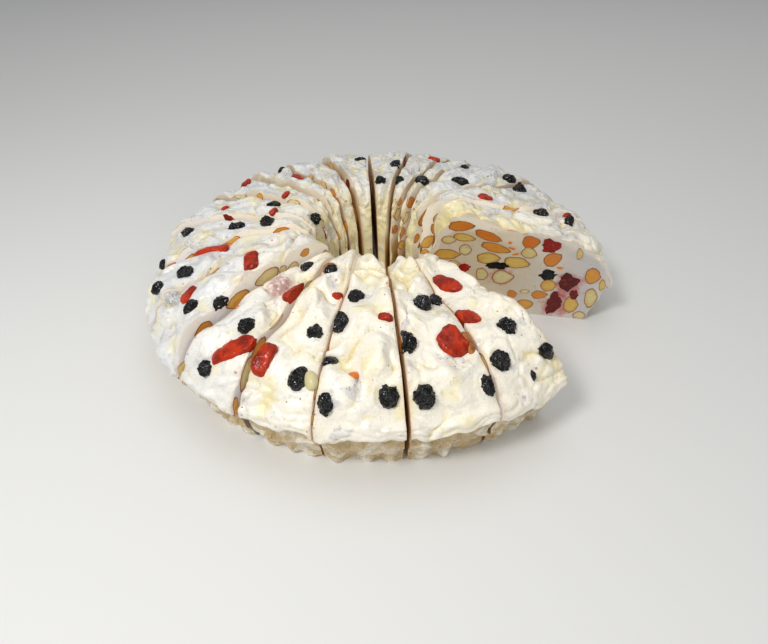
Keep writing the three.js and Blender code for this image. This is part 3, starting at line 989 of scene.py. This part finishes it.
# %% Give the two open faces their finish
def face_at_cut(piece, column):
    """The one face that closes a wedge at its first or its last column."""
    caps = [face for face in piece.data.polygons if len(face.vertices) == ROWS]
    return next(face for face in caps if face.vertices[0] // ROWS == column)


for piece, column in ((wedge_pieces[0], 0), (wedge_pieces[-1], COLUMNS)):
    piece.data.materials.append(open_cut_material)
    face_at_cut(piece, column).material_index = OPEN_CUT
print("open faces:", wedge_pieces[0].name, wedge_pieces[-1].name)

# %% [markdown]
# ## The dark berries
# A dried berry is a bag of skin that has shrunk onto its seeds, so it is covered in small bumps with
# sharp folds between them. Each one is grown from its CAD solid, so it keeps its place and its form. The
# copy is merged, the knife's edges are creased so that they stay sharp, and Subdivision rounds the rest.
# Two Displace modifiers follow: hard noise for the folds, and cells for the bumps.


# %% Grow the berries
FRUIT_LEVELS = 3
KNIFE_EDGE = math.radians(58)  # an edge this sharp is one that a knife has cut
CREASE = 0.8


def pattern(name, kind, size, **settings):
    """A procedural pattern for Displace, whose blots are about size metres across."""
    texture = bpy.data.textures.new(name, kind)
    texture.noise_scale = size
    for key, value in settings.items():
        setattr(texture, key, value)
    return texture


def wrinkle(piece, patterns, fuller=0):
    """Displaces the active piece by each pattern in turn. Fuller swells it by a share of each pattern's
    depth, and shrinks it if it is below 0."""
    for texture, depth in patterns:
        wrinkles = piece.modifiers.new("wrinkles", "DISPLACE")
        wrinkles.texture, wrinkles.strength = texture, depth
        wrinkles.mid_level = 0.5 - fuller * math.copysign(1, depth)
        bpy.ops.object.modifier_apply(modifier=wrinkles.name)
    bpy.ops.object.shade_smooth()


def fruit_from(node_name, piece_name):
    """A merged and rounded copy of a CAD fruit's mesh."""
    piece = bpy.data.objects.new(piece_name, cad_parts[node_name].data.copy())
    piece.data.name = piece_name
    piece.data.materials.clear()
    bpy.context.collection.objects.link(piece)
    select_only(piece)
    bpy.ops.object.mode_set(mode="EDIT")
    bpy.ops.mesh.select_all(action="SELECT")
    bpy.ops.mesh.remove_doubles(threshold=0.01 * MM)
    bpy.ops.mesh.select_all(action="DESELECT")
    bpy.ops.mesh.edges_select_sharp(sharpness=KNIFE_EDGE)
    bpy.ops.transform.edge_crease(value=CREASE)
    bpy.ops.object.mode_set(mode="OBJECT")
    rounding = piece.modifiers.new("rounding", "SUBSURF")
    rounding.levels = rounding.render_levels = FRUIT_LEVELS
    bpy.ops.object.modifier_apply(modifier=rounding.name)
    return piece


def grow_fruit(old, new, patterns, fuller):
    """The pieces that stand for all the CAD fruit of one kind."""
    pieces = []
    for name in fruit_names:
        if name.startswith(old):
            piece = fruit_from(name, name.replace(old, new))
            wrinkle(piece, patterns, fuller)
            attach(piece, "root")
            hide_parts(name)
            pieces.append(piece)
    return pieces


berry_patterns = [
    (pattern("shrunk", "CLOUDS", 7 * MM, noise_type="HARD_NOISE", noise_depth=1), -2.6 * MM),
    (pattern("seeds", "VORONOI", 2.1 * MM), -1.2 * MM),
]
berries = grow_fruit("dark_berry", "berry", berry_patterns, fuller=-0.15)
print("berries:", len(berries), "faces each:", len(berries[0].data.polygons))

# %% [markdown]
# ## The finish of the berries
# The skin is blue-black, with a dusty bloom on the bumps and a sticky shine in the folds. A coat over a
# fairly rough base gives both: the base stays dull and the coat makes small sharp highlights.


# %% Berry colours and nodes
BERRY_SKIN = srgb(3, 3, 4)
BERRY_BLOOM = srgb(12, 11, 14)


def berry_finish():
    berry = Finish("dried_berry", roughness=0.5, Coat_Roughness=0.07, Specular_IOR_Level=0.06)
    dust = berry.noise(5 * MM, detail=4).above(0.4, 0.75)
    colour = berry.mix(dust, BERRY_SKIN, BERRY_BLOOM)
    berry.set(Base_Color=colour, Roughness=0.4 + 0.25 * dust, Coat_Weight=0.8 - 0.7 * dust)
    berry.relief((1 - berry.cells(2.2 * MM), 1.1 * MM), (berry.noise(0.8 * MM, detail=2), 0.15 * MM))
    return berry.material


berry_material = berry_finish()
for piece in berries:
    piece.data.materials.append(berry_material)

# %% [markdown]
# ## The candied red fruit
# Strips and chunks of fruit boiled in syrup. They are firm and nearly flat, with rounded edges and
# shallow dents, and small dark seeds show in them. They are grown from their CAD solids in the same way,
# with softer patterns.

# %% Grow the candied fruit
candied_patterns = [
    (pattern("dents", "CLOUDS", 9 * MM, noise_depth=2), 3 * MM),
    (pattern("pulp", "CLOUDS", 2.5 * MM, noise_depth=1), 0.7 * MM),
]
candied = grow_fruit("red_fruit", "candied", candied_patterns, fuller=0.22)
print("candied pieces:", len(candied))


# %% Candied fruit colours and nodes
DEEP_RED = srgb(126, 24, 6)
BRIGHT_RED = srgb(194, 52, 14)
GLOW_ORANGE = srgb(224, 98, 40)
SEED_BROWN = srgb(48, 14, 12)
FRUIT_SOAK = (1.0, 0.2, 0.1)
FRUIT_SOAK_DEPTH = 3 * MM


def candied_finish():
    fruit = Finish("candied_fruit", roughness=0.3, Coat_Weight=0.15, Coat_Roughness=0.1)
    fruit.set(Specular_IOR_Level=0.2)
    fruit.soften(0.1, FRUIT_SOAK_DEPTH, FRUIT_SOAK)
    lumps = fruit.noise(8 * MM, detail=3)
    colour = fruit.mix(lumps.above(0.3, 0.7), DEEP_RED, BRIGHT_RED)
    # painted glow: scattered lighter orange spots stand in for light shining through the fruit
    glow = fruit.noise(5 * MM, detail=2).above(0.62, 0.75)
    colour = fruit.mix(glow * 0.45, colour, GLOW_ORANGE)
    seeds = specks(fruit, 3.2 * MM, 0.42 * MM, 0.6)
    colour = fruit.mix(seeds * 0.9, colour, SEED_BROWN)
    fruit.set(Base_Color=colour, Roughness=0.22 + 0.3 * lumps)
    fruit.relief((fruit.noise(3 * MM, detail=3), 0.7 * MM), (seeds, 0.2 * MM))
    return fruit.material


candied_material = candied_finish()
for piece in candied:
    piece.data.materials.append(candied_material)
print("fruit finishes:", berry_material.name, candied_material.name)

# %% [markdown]
# ## Almonds and fruit in the cut faces
# The knife goes through whole almonds, so the cut faces are set with their slices: a pale kernel inside a
# thin brown skin. Each slice is a shallow button that stands a hair proud of the face. Two buttons are
# modelled, one finer than the other: a short cylinder whose top is inset twice and poked. They are then
# stretched into all the slices.

# %% Model the two buttons
PROUD = 0.35 * MM
SUNK = -1.5 * MM
FINE_SIDES, SMALL_SIDES = 22, 14


def button(sides):
    """The vertices of a closed button, as x, y and height over the face, its rim trait and its faces."""
    bpy.ops.object.select_all(action="DESELECT")
    bpy.ops.mesh.primitive_cylinder_add(vertices=sides, radius=1, depth=1, location=(0, 0, -0.5))
    piece = bpy.context.object
    bpy.ops.object.transform_apply()
    for face in piece.data.polygons:
        face.select = face.normal.z > 0.9
    bpy.ops.object.mode_set(mode="EDIT")
    bpy.ops.mesh.select_mode(type="FACE")
    bpy.ops.mesh.inset(thickness=0.12)
    bpy.ops.mesh.inset(thickness=0.4)
    bpy.ops.mesh.poke()
    bpy.ops.object.mode_set(mode="OBJECT")
    corners = np.array([v.co[:] for v in piece.data.vertices])
    faces = [tuple(face.vertices) for face in piece.data.polygons]
    rim = np.linalg.norm(corners[:, :2], axis=1)
    low = corners[:, 2] < -0.5
    corners[:, 2] = np.where(low, SUNK, PROUD * (1 - 0.25 * rim**6))
    corners[:, :2] *= np.where(low, 0.9, 1)[:, None]
    bpy.data.objects.remove(piece)
    return corners, np.where(low, 1, rim), faces


fine_button = button(FINE_SIDES)
small_button = button(SMALL_SIDES)
print("faces of a button:", len(fine_button[2]), len(small_button[2]))

# %% [markdown]
# ## Where a knife face is
# A knife face stands half a slit off its cut line. `KnifeFace` holds its three directions and the wedge's
# outline there, so that a slice can be kept under the skin and inside the skirt. `Slices` gathers all the
# slices of one kind, which become one joined mesh.


# %% The KnifeFace and Slices classes
MARGIN = 0.8 * MM  # every slice stays this far inside the outline
TIP = 0.35  # how much narrower a slice is at its pointed end


class KnifeFace:
    """One cut face of a wedge: x runs along the cut, y is up and z comes out of the face."""

    def __init__(self, index, at_start):
        wedge = wedges[index]
        angle = wedge.start if at_start else wedge.end
        slit = wedge.start_slit if at_start else -wedge.end_slit
        self.out = np.array((math.cos(angle), math.sin(angle), 0))
        round_ring = np.array((-math.sin(angle), math.cos(angle), 0))
        self.normal = -round_ring if at_start else round_ring
        self.origin = slit * round_ring
        self.flip = 1 if at_start else -1
        first = 0 if at_start else COLUMNS * ROWS
        places = [wedge_pieces[index].data.vertices[first + row].co for row in range(ROWS)]
        outline = np.array([(math.hypot(place.x, place.y), place.z) for place in places])
        self.crown = outline[SKIRT_ROWS + LIP_ROWS : ROWS - WALL_ROWS]
        self.side = outline[: SKIRT_ROWS + LIP_ROWS + CROWN_ROWS // 4]
        self.inner = outline[:, 0].min()

    def skin_height(self, radius):
        return np.interp(radius, self.crown[::-1, 0], self.crown[::-1, 1])

    def side_radius(self, height):
        order = np.argsort(self.side[:, 1])
        return np.interp(height, self.side[order, 1], self.side[order, 0])

    def places(self, radius, height, proud):
        """Points of the face in space, kept inside the wedge's outline."""
        radius = np.clip(radius, self.inner + MARGIN, self.side_radius(height) - MARGIN)
        height = np.clip(height, MARGIN, self.skin_height(radius) - MARGIN)
        along = radius[:, None] * self.out + height[:, None] * np.array((0, 0, 1))
        return self.origin + along + proud[:, None] * self.normal


class Slices:
    """All slices of one kind, as one mesh: taper makes them egg-shaped and jag makes them ragged."""

    def __init__(self, name, template, taper, jag):
        self.name, self.template, self.taper, self.jag = name, template, taper, jag
        self.corners, self.faces, self.rims, self.tones, self.grains = [], [], [], [], []

    def add(self, face, radius, height, length, width, turn, tone):
        corners, rim, faces = self.template
        seed = 7 * len(self.faces) + 100 * radius
        broad = [noise.noise((1.4 * x, 1.4 * y, seed)) for x, y, _ in corners.tolist()]
        fine = [noise.noise((3.5 * x, 3.5 * y, seed + 9)) for x, y, _ in corners.tolist()]
        swollen = 1 + self.jag * (np.array(broad) + 0.6 * np.array(fine)) * rim
        tip = 1 - self.taper * corners[:, 0] - TIP * np.maximum(0, corners[:, 0]) ** 4
        x = corners[:, 0] * swollen * length / 2
        y = corners[:, 1] * swollen * tip * width / 2
        cosine, sine = math.cos(math.radians(turn)), math.sin(math.radians(turn))
        across = (radius + x * cosine - y * sine) * MM
        up = (height + x * sine + y * cosine) * MM
        start = sum(len(part) for part in self.corners)
        self.corners.append(face.places(across, up, corners[:, 2]))
        self.faces += [tuple(start + v for v in (f if face.flip > 0 else f[::-1])) for f in faces]
        self.rims.append(rim)
        self.tones.append(np.full(len(rim), tone))
        self.grains.append(np.stack([x * MM, y * MM, np.full(len(rim), seed * MM)], axis=1))

    def make_piece(self, material):
        """Joins all the slices in one piece."""
        mesh = bpy.data.meshes.new(self.name)
        mesh.from_pydata(np.concatenate(self.corners).tolist(), [], self.faces)
        keep_trait(mesh, "rim", np.concatenate(self.rims))
        keep_trait(mesh, "tone", np.concatenate(self.tones))
        grain = mesh.attributes.new("grain", "FLOAT_VECTOR", "POINT")
        grain.data.foreach_set("vector", np.concatenate(self.grains).astype(np.float32).ravel())
        mesh.materials.append(material)
        piece = bpy.data.objects.new(self.name, mesh)
        bpy.context.collection.objects.link(piece)
        select_only(piece)
        bpy.ops.object.shade_smooth_by_angle(angle=math.radians(60))
        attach(piece, "root")


# %% [markdown]
# ## What lies in each face
# The large open face is laid out slice by slice: how far out it lies, how high, its length, its
# width, its turn and its tone, from 0 for a pale kernel to 1 for a roasted one. The slits show only a few
# almonds each, listed by cut. Both sides of a cut show the two halves of the same almond.

# %% Slices listed one by one
# radius, height, length and width in mm, turn in degrees, tone
OPEN_ALMONDS = [
    (68, 79, 21, 9, 5, 0.9),
    (90, 72, 23, 8, -17, 0.95),
    (59, 66, 12, 7, 6, 0.1),
    (71, 69, 18, 7, -4, 0.35),
    (73, 58, 10, 10, 6, 0),
    (97, 62, 24, 8, -12, 0.7),
    (58, 52, 21, 10, 6, 0.5),
    (92, 52, 19, 10, 6, 0.3),
    (123, 70, 14, 11, 6, 1),
    (123, 60, 13, 10, -17, 0.15),
    (142, 56, 15, 12, 37, 0.85),
    (115, 50, 20, 11, -3, 0.35),
    (64, 44, 10, 6, 6, 0.2),
    (88, 36, 10, 13, 6, 0.05),
    (105, 35, 18, 13, 7, 0),
    (143, 31, 13, 11, 7, 0.45),
    (164, 14, 12, 16, 7, 0.4),
    (115, 19, 8, 8, 7, 0.85),
    (125, 23, 8, 4, 7, 0),
    (137, 21, 13, 8, 7, 0.8),
    (127, 10, 14, 10, 7, 0.55),
    (175, 44, 12, 15, 7, 0.65),
    (178, 23, 10, 19, 7, 0.1),
    (161, 63, 5, 10, 6, 0.2),
    (173, 3, 11, 10, 8, 0),
    (184, 36, 5, 11, 7, 0.3),
]
OPEN_REDS = [
    (138, 68, 15, 12, 6, 0.4),
    (73, 41, 9, 8, 6, 0.1),
    (157, 36, 15, 15, 7, 1),
    (164, 24, 7, 11, 7, 0.8),
    (150, 14, 13, 21, -7, 0.9),
]
OPEN_BLACKS = [(100, 46, 18, 8, 6, 0), (141, 41, 13, 9, 7, 0)]
OPEN_PEEL = [
    (106, 82, 5, 3, 10, 0),
    (107, 68, 3, 2, 10, 0),
    (109, 63, 6, 2, -10, 0),
    (113, 58, 5, 2, 20, 0),
    (149, 49, 6, 2, 0, 0),
    (118, 78, 4, 2, 20, 0),
]
# The cut in degrees, then the same as above
SLIT_ALMONDS = [
    (7, 57, 77, 25, 10, 31, 0.1),
    (7, 51, 65, 12, 12, 29, 0.85),
    (7, 43, 53, 15, 10, 43, 0.6),
    (7, 41, 43, 8, 5, -6, 0.6),
    (7, 75, 82, 14, 6, 6, 0.7),
    (7, 113, 78, 15, 8, 0, 0.6),
    (30.5, 50, 67, 21, 10, 48, 0.85),
    (30.5, 41, 48, 6, 9, -17, 0.9),
    (51.5, 51, 73, 14, 10, -29, 0.95),
    (51.5, 42, 62, 14, 10, 22, 0.15),
    (51.5, 37, 50, 12, 9, -25, 0.8),
    (51.5, 37, 37, 12, 9, -26, 0.5),
    (63, 44, 63, 13, 11, 4, 0.2),
    (63, 39, 50, 12, 8, -34, 0.95),
    (63, 48, 73, 11, 8, -31, 0.9),
    (125.5, 108, 81, 10, 8, 0, 0.4),
    (125.5, 85, 78, 10, 8, 0, 0.4),
    (125.5, 70, 76, 9, 8, 40, 0.8),
    (125.5, 63, 68, 7, 11, 0, 0.8),
    (125.5, 52, 49, 7, 14, 0, 0.8),
    (153.5, 140, 73, 17, 8, -8, 0.1),
    (153.5, 81, 77, 14, 7, 0, 0.1),
    (153.5, 117, 76, 7, 7, 0, 0.7),
    (192, 77, 78, 14, 8, 0, 0.85),
    (192, 116, 76, 15, 8, 0, 0.55),
    (192, 56, 67, 6, 12, 10, 0.1),
    (192, 168, 60, 14, 12, -40, 0.85),
    (208.5, 134, 71, 16, 9, -10, 0.75),
    (225.5, 109, 76, 22, 11, -6, 0.15),
    (225.5, 86, 73, 11, 9, 0, 0.1),
    (225.5, 95, 75, 7, 8, 0, 0.1),
    (225.5, 134, 70, 20, 12, -8, 0.6),
    (225.5, 74, 80, 9, 6, 0, 0.9),
    (225.5, 164, 60, 18, 11, -35, 0.8),
    (242, 99, 74, 12, 8, 0, 0.3),
    (242, 137, 72, 16, 8, -10, 0.1),
    (242, 172, 55, 24, 9, -50, 0.12),
    (242, 187, 40, 15, 5, -75, 0.6),
    (242, 158, 64, 18, 9, -22, 0.7),
    (257.5, 174, 60, 13, 8, -40, 0.1),
    (291.5, 149, 66, 16, 8, -12, 0.75),
    (291.5, 119, 72, 15, 7, -5, 0.2),
    (291.5, 168, 60, 19, 8, -40, 0.15),
]
print("almonds in the open face:", len(OPEN_ALMONDS), "in the slits:", len(SLIT_ALMONDS))

# %% [markdown]
# ## Slices by chance
# The far open face and the rest of the slits are filled by a seeded draw, in the same sizes. A new slice
# is kept only if it is clear of those already there, so none overlap.

# %% Fill the faces
draw = random.Random(19)
almonds = Slices("cut_almonds", fine_button, taper=0.2, jag=0.16)
slit_almonds = Slices("slit_almonds", small_button, taper=0.2, jag=0.14)
red_slices = Slices("cut_red_fruit", fine_button, taper=0.1, jag=0.42)
black_slices = Slices("cut_berries", fine_button, taper=0, jag=0.6)
peel_flecks = Slices("orange_peel_flecks", small_button, taper=0.2, jag=0.6)
first_face = KnifeFace(0, at_start=True)
last_face = KnifeFace(len(wedges) - 1, at_start=False)


OPEN_DEPTH, SLIT_DEPTH = 75, 30  # how far under the skin slices are drawn, in mm


def fits(taken, radius, height, length, width):
    """True if a slice of this size is clear of the ones in taken."""
    size = (length + width) / 4
    return all(math.hypot(radius - r, height - z) > 0.85 * size + (a + b) / 4 for r, z, a, b in taken)


LEAST_HEIGHT = 7  # in mm, over the underside
KIND_SHARES = ((0.78, almonds), (0.9, red_slices), (1, black_slices))


def draw_slices(face, taken, tries, depth, shy=0):
    """Adds almonds and fruit at random, within depth mm of the skin and clear of a shy upper part."""
    for _ in range(tries):
        radius = draw.uniform(HOLE_RADIUS / MM + 5, RIM_RADIUS / MM - 8)
        height = face.skin_height(radius * MM) / MM - draw.uniform(4, depth)
        length = draw.uniform(10, 22)
        width = draw.uniform(7, 11) if length > 13 else length * draw.uniform(0.7, 0.95)
        turn = draw.gauss(0, 22)
        chance = draw.random()
        tone = draw.random()
        free = not shy or height < shy - 0.65 * (radius - HOLE_RADIUS / MM)
        if height < LEAST_HEIGHT or not free or not fits(taken, radius, height, length, width):
            continue
        taken.append((radius, height, length, width))
        kind = next(slices for share, slices in KIND_SHARES if chance < share)
        if kind is almonds and depth == SLIT_DEPTH:
            kind = slit_almonds
        kind.add(face, radius, height, length, width, turn, tone)


taken_first = [row[:4] for row in (*OPEN_ALMONDS, *OPEN_REDS, *OPEN_BLACKS)]
for kind, rows in (
    (almonds, OPEN_ALMONDS),
    (red_slices, OPEN_REDS),
    (black_slices, OPEN_BLACKS),
    (peel_flecks, OPEN_PEEL),
):
    for row in rows:
        kind.add(first_face, *row)
draw_slices(first_face, taken_first, tries=160, depth=OPEN_DEPTH, shy=46)
draw_slices(last_face, [], tries=420, depth=OPEN_DEPTH)
for cut in range(1, len(wedges)):
    before = KnifeFace(cut - 1, at_start=False)
    after = KnifeFace(cut, at_start=True)
    rows = [row[1:] for row in SLIT_ALMONDS if row[0] == CUTS[cut][0]]
    for face in (before, after):
        for row in rows:
            slit_almonds.add(face, *row)
        draw_slices(face, [row[:4] for row in rows], tries=6, depth=SLIT_DEPTH)
counts = {slices.name: len(slices.tones) for slices in (almonds, slit_almonds, red_slices, black_slices)}
print("slices:", counts)

# %% [markdown]
# ## The finish of the slices
# The almonds read their tone and their rim: pale olive-cream to roasted orange inside, with a brown skin
# round it. Fine fibres run along the kernel, so the noise is stretched along its length. The almonds in
# the slits are painted paler and glow as faintly as the faces round them: both are painted light.


# %% Slice colours and nodes
OPEN_TONES = [srgb(208, 198, 148), srgb(208, 180, 94), srgb(208, 148, 48), srgb(202, 106, 16)]
# painted light: paler tones for the almonds in the slits, as if lit inside them
SLIT_TONES = [srgb(224, 216, 174), srgb(226, 204, 132), srgb(224, 174, 84), srgb(208, 128, 40)]
TONE_STOPS = (0, 0.3, 0.6, 1)
FIBRE_BROWN = srgb(150, 96, 48)
NEAR_RIM = srgb(184, 120, 50)
ALMOND_SKIN = srgb(140, 84, 46)
ALMOND_SOAK = (1.0, 0.6, 0.25)
CUT_RED = srgb(158, 24, 14)
CUT_MAROON = srgb(80, 8, 8)
PULP = srgb(206, 66, 34)
PEEL_ORANGE = srgb(230, 132, 24)
PEEL_BROWN = srgb(208, 98, 16)


def almond_finish(name, tones, glow):
    nut = Finish(name, roughness=0.4, Coat_Weight=0.2, Coat_Roughness=0.2)
    nut.soften(0.15, FRUIT_SOAK_DEPTH, ALMOND_SOAK)
    grain = nut.attribute("grain", "Vector")
    fibres = nut.node("ShaderNodeVectorMath", {"operation": "MULTIPLY"}, {0: grain, 1: (0.3, 1, 1)})
    streaks = nut.noise(1.6 * MM, detail=3, vector=fibres)
    cloudy = nut.noise(6 * MM, detail=2, vector=grain)
    tone = nut.attribute("tone")
    stops = list(zip(TONE_STOPS, tones))
    colour = nut.node("ShaderNodeValToRGB", {"stops": stops}, {"Fac": tone + 0.3 * cloudy - 0.15})
    colour = nut.mix(streaks.above(0.5, 0.8) * 0.4, colour, FIBRE_BROWN)
    rim = nut.attribute("rim")
    colour = nut.mix(rim.above(0.45, 1) * 0.4, colour, NEAR_RIM)
    colour = nut.mix(rim.above(0.84, 0.95), colour, ALMOND_SKIN)
    nut.set(Base_Color=colour, Roughness=0.3 + 0.25 * streaks)
    if glow:
        nut.set(Emission_Color=colour, Emission_Strength=glow)
    nut.relief((streaks, 0.35 * MM), (cloudy, 0.6 * MM))
    return nut.material


def red_slice_finish():
    fruit = Finish("sliced_fruit", roughness=0.28, Coat_Weight=0.25, Specular_IOR_Level=0.2)
    fruit.soften(0.2, FRUIT_SOAK_DEPTH, FRUIT_SOAK)
    pulp = fruit.noise(3 * MM, detail=3)
    colour = fruit.mix(fruit.attribute("tone"), CUT_RED, CUT_MAROON)
    colour = fruit.mix(pulp.above(0.5, 0.75) * 0.35, colour, PULP)
    fruit.set(Base_Color=colour)
    fruit.relief((pulp, 0.8 * MM))
    return fruit.material


def peel_finish():
    peel = Finish("orange_peel", roughness=0.35, Coat_Weight=0.3)
    peel.set(Base_Color=peel.mix(peel.noise(2 * MM), PEEL_ORANGE, PEEL_BROWN))
    return peel.material


almond_material = almond_finish("sliced_almond", OPEN_TONES, glow=0)
slit_almond_material = almond_finish("slit_almond", SLIT_TONES, glow=0.12)
peel_material = peel_finish()
almonds.make_piece(almond_material)
slit_almonds.make_piece(slit_almond_material)
red_slices.make_piece(red_slice_finish())
black_slices.make_piece(berry_material)
peel_flecks.make_piece(peel_material)
print("slice pieces are joined")

# %% [markdown]
# ## Crumbs of fruit in the skin
# Between the large fruit lie smaller bits of the same berries and candied fruit, a piece of orange peel and
# a few almonds that the knife missed. They are too small to be solids of the CAD model. Each is a small
# sphere, set into the skin where a ray from above meets it and turned to face the way the skin does. The
# bits of one kind are joined, and the same wrinkles as before make them ragged.

# %% Seat the crumbs on the skin
RAY_START = 200 * MM
CRUMB_THICKNESS = 0.8  # as a share of its width


def seat_on_skin(angle, radius):
    """Where a ray from above meets the skin, and the way the skin faces there."""
    index = next(i for i, wedge in enumerate(wedges) if wedge.start < angle < wedge.end)
    start = Vector((radius * math.cos(angle), radius * math.sin(angle), RAY_START))
    found, place, normal, _ = wedge_pieces[index].ray_cast(start, Vector((0, 0, -1)))
    assert found, f"no skin at {math.degrees(angle):.1f} degrees"
    return place, normal


def crumb(degrees, radius, length, width, turn):
    """One crumb: a sphere stretched to its size and half sunk in the skin."""
    angle = math.radians(degrees)
    place, normal = seat_on_skin(angle, radius * MM)
    out = Vector((math.cos(angle), math.sin(angle), 0))
    along = (out - out.dot(normal) * normal).normalized()
    along.rotate(Matrix.Rotation(math.radians(turn), 3, normal))
    axes = Matrix((along, normal.cross(along), normal)).transposed().to_4x4()
    bpy.ops.mesh.primitive_ico_sphere_add(subdivisions=4, radius=0.5)
    piece = bpy.context.object
    sizes = Matrix.Diagonal((length * MM, width * MM, CRUMB_THICKNESS * width * MM, 1))
    piece.matrix_world = Matrix.Translation(place) @ axes @ sizes
    select_only(piece)
    bpy.ops.object.transform_apply()
    return piece


def crumbs(name, material, patterns, rows):
    """All the crumbs of one kind, as one wrinkled piece."""
    pieces = [crumb(*row) for row in rows]
    bpy.ops.object.select_all(action="DESELECT")
    for piece in pieces:
        piece.select_set(True)
    bpy.context.view_layer.objects.active = pieces[0]
    bpy.ops.object.join()
    joined = bpy.context.object
    joined.name = joined.data.name = name
    wrinkle(joined, patterns)
    joined.data.materials.append(material)
    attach(joined, "root")


# %% Set the crumbs
# angle in degrees, radius, length and width in mm, turn in degrees
BERRY_CRUMBS = [
    (158.7, 96, 13, 9, 20),
    (127.4, 155, 10, 8, 0),
    (190, 172, 8, 6, 60),
    (206, 174, 11, 7, 20),
    (54.8, 71, 13, 9, -50),
    (39.8, 98, 16, 10, -40),
    (33.3, 149, 13, 10, -33),
    (0.8, 158, 12, 7, 70),
    (258.9, 158, 10, 8, 0),
    (305.4, 177, 12, 9, 20),
    (300.1, 183, 7, 3.5, 50),
    (248.9, 90, 10, 8, 0),
    (97, 130, 12, 9, 60),
    # On the far flank
    (20, 182, 12, 10, 0),
    (57, 183, 13, 10, 30),
    (84, 181, 12, 9, 0),
    (99, 186, 11, 9, 50),
    (131, 182, 13, 10, 20),
    (146, 184, 11, 8, 0),
]
CANDIED_CRUMBS = [
    (5, 161, 10, 7, 60),
    (142, 160, 15, 8, 60),
    (151.2, 90, 9, 5, 70),
    (164.3, 137, 9, 5, 60),
    (170.6, 87, 9, 7, 50),
    (255.2, 108, 8, 5, 70),
    (271.6, 131, 10, 7, 60),
    # On the far flank
    (41, 183, 14, 7, 70),
    (72, 185, 9, 6, 0),
    (117, 182, 16, 8, 20),
]
AMBER_CRUMBS = [(246.2, 84, 15, 10, 40), (289.9, 155, 17, 8, 0)]
PALE_CRUMBS = [(256.2, 172, 13, 9, 15)]
PEEL_CRUMBS = [(264.7, 166, 9, 5, 120), (193.6, 118, 6, 2, 0), (228, 141, 4, 3, 0)]
SMALL = 0.6  # a small berry's wrinkles are this much shallower
small_patterns = [(texture, SMALL * depth) for texture, depth in berry_patterns]
crumbs("berry_crumbs", berry_material, small_patterns, BERRY_CRUMBS)
crumbs("candied_crumbs", candied_material, candied_patterns, CANDIED_CRUMBS)
print("crumbs:", len(BERRY_CRUMBS), "of berry and", len(CANDIED_CRUMBS), "of candied fruit")

# %% [markdown]
# ## Whole almonds and peel
# Two whole almonds in the skin are amber, with a thin sticky glaze, and a peeled one is pale, so it takes
# the finish of the sliced ones. The bits of peel take the finish of the flecks in the open face.


# %% Almond and peel crumbs
AMBER = srgb(176, 108, 34)
DARK_AMBER = srgb(134, 70, 18)
GLAZE_BROWN = srgb(120, 64, 26)


def whole_almond_finish():
    nut = Finish("glazed_almond", roughness=0.35, Coat_Weight=0.35, Coat_Roughness=0.12)
    cloudy = nut.noise(5 * MM, detail=3)
    colour = nut.mix(cloudy.above(0.35, 0.65), AMBER, DARK_AMBER)
    nut.set(Base_Color=nut.mix(nut.noise(2 * MM).above(0.6, 0.75) * 0.4, colour, GLAZE_BROWN))
    nut.relief((cloudy, 0.8 * MM))
    return nut.material


smooth_pattern = [(pattern("uneven", "CLOUDS", 8 * MM, noise_depth=1), 1.2 * MM)]
crumbs("amber_almonds", whole_almond_finish(), smooth_pattern, AMBER_CRUMBS)
crumbs("pale_almonds", almond_material, smooth_pattern, PALE_CRUMBS)
crumbs("peel_crumbs", peel_material, smooth_pattern, PEEL_CRUMBS)
print("crumbs:", len(AMBER_CRUMBS) + len(PALE_CRUMBS), "of almond and", len(PEEL_CRUMBS), "of peel")
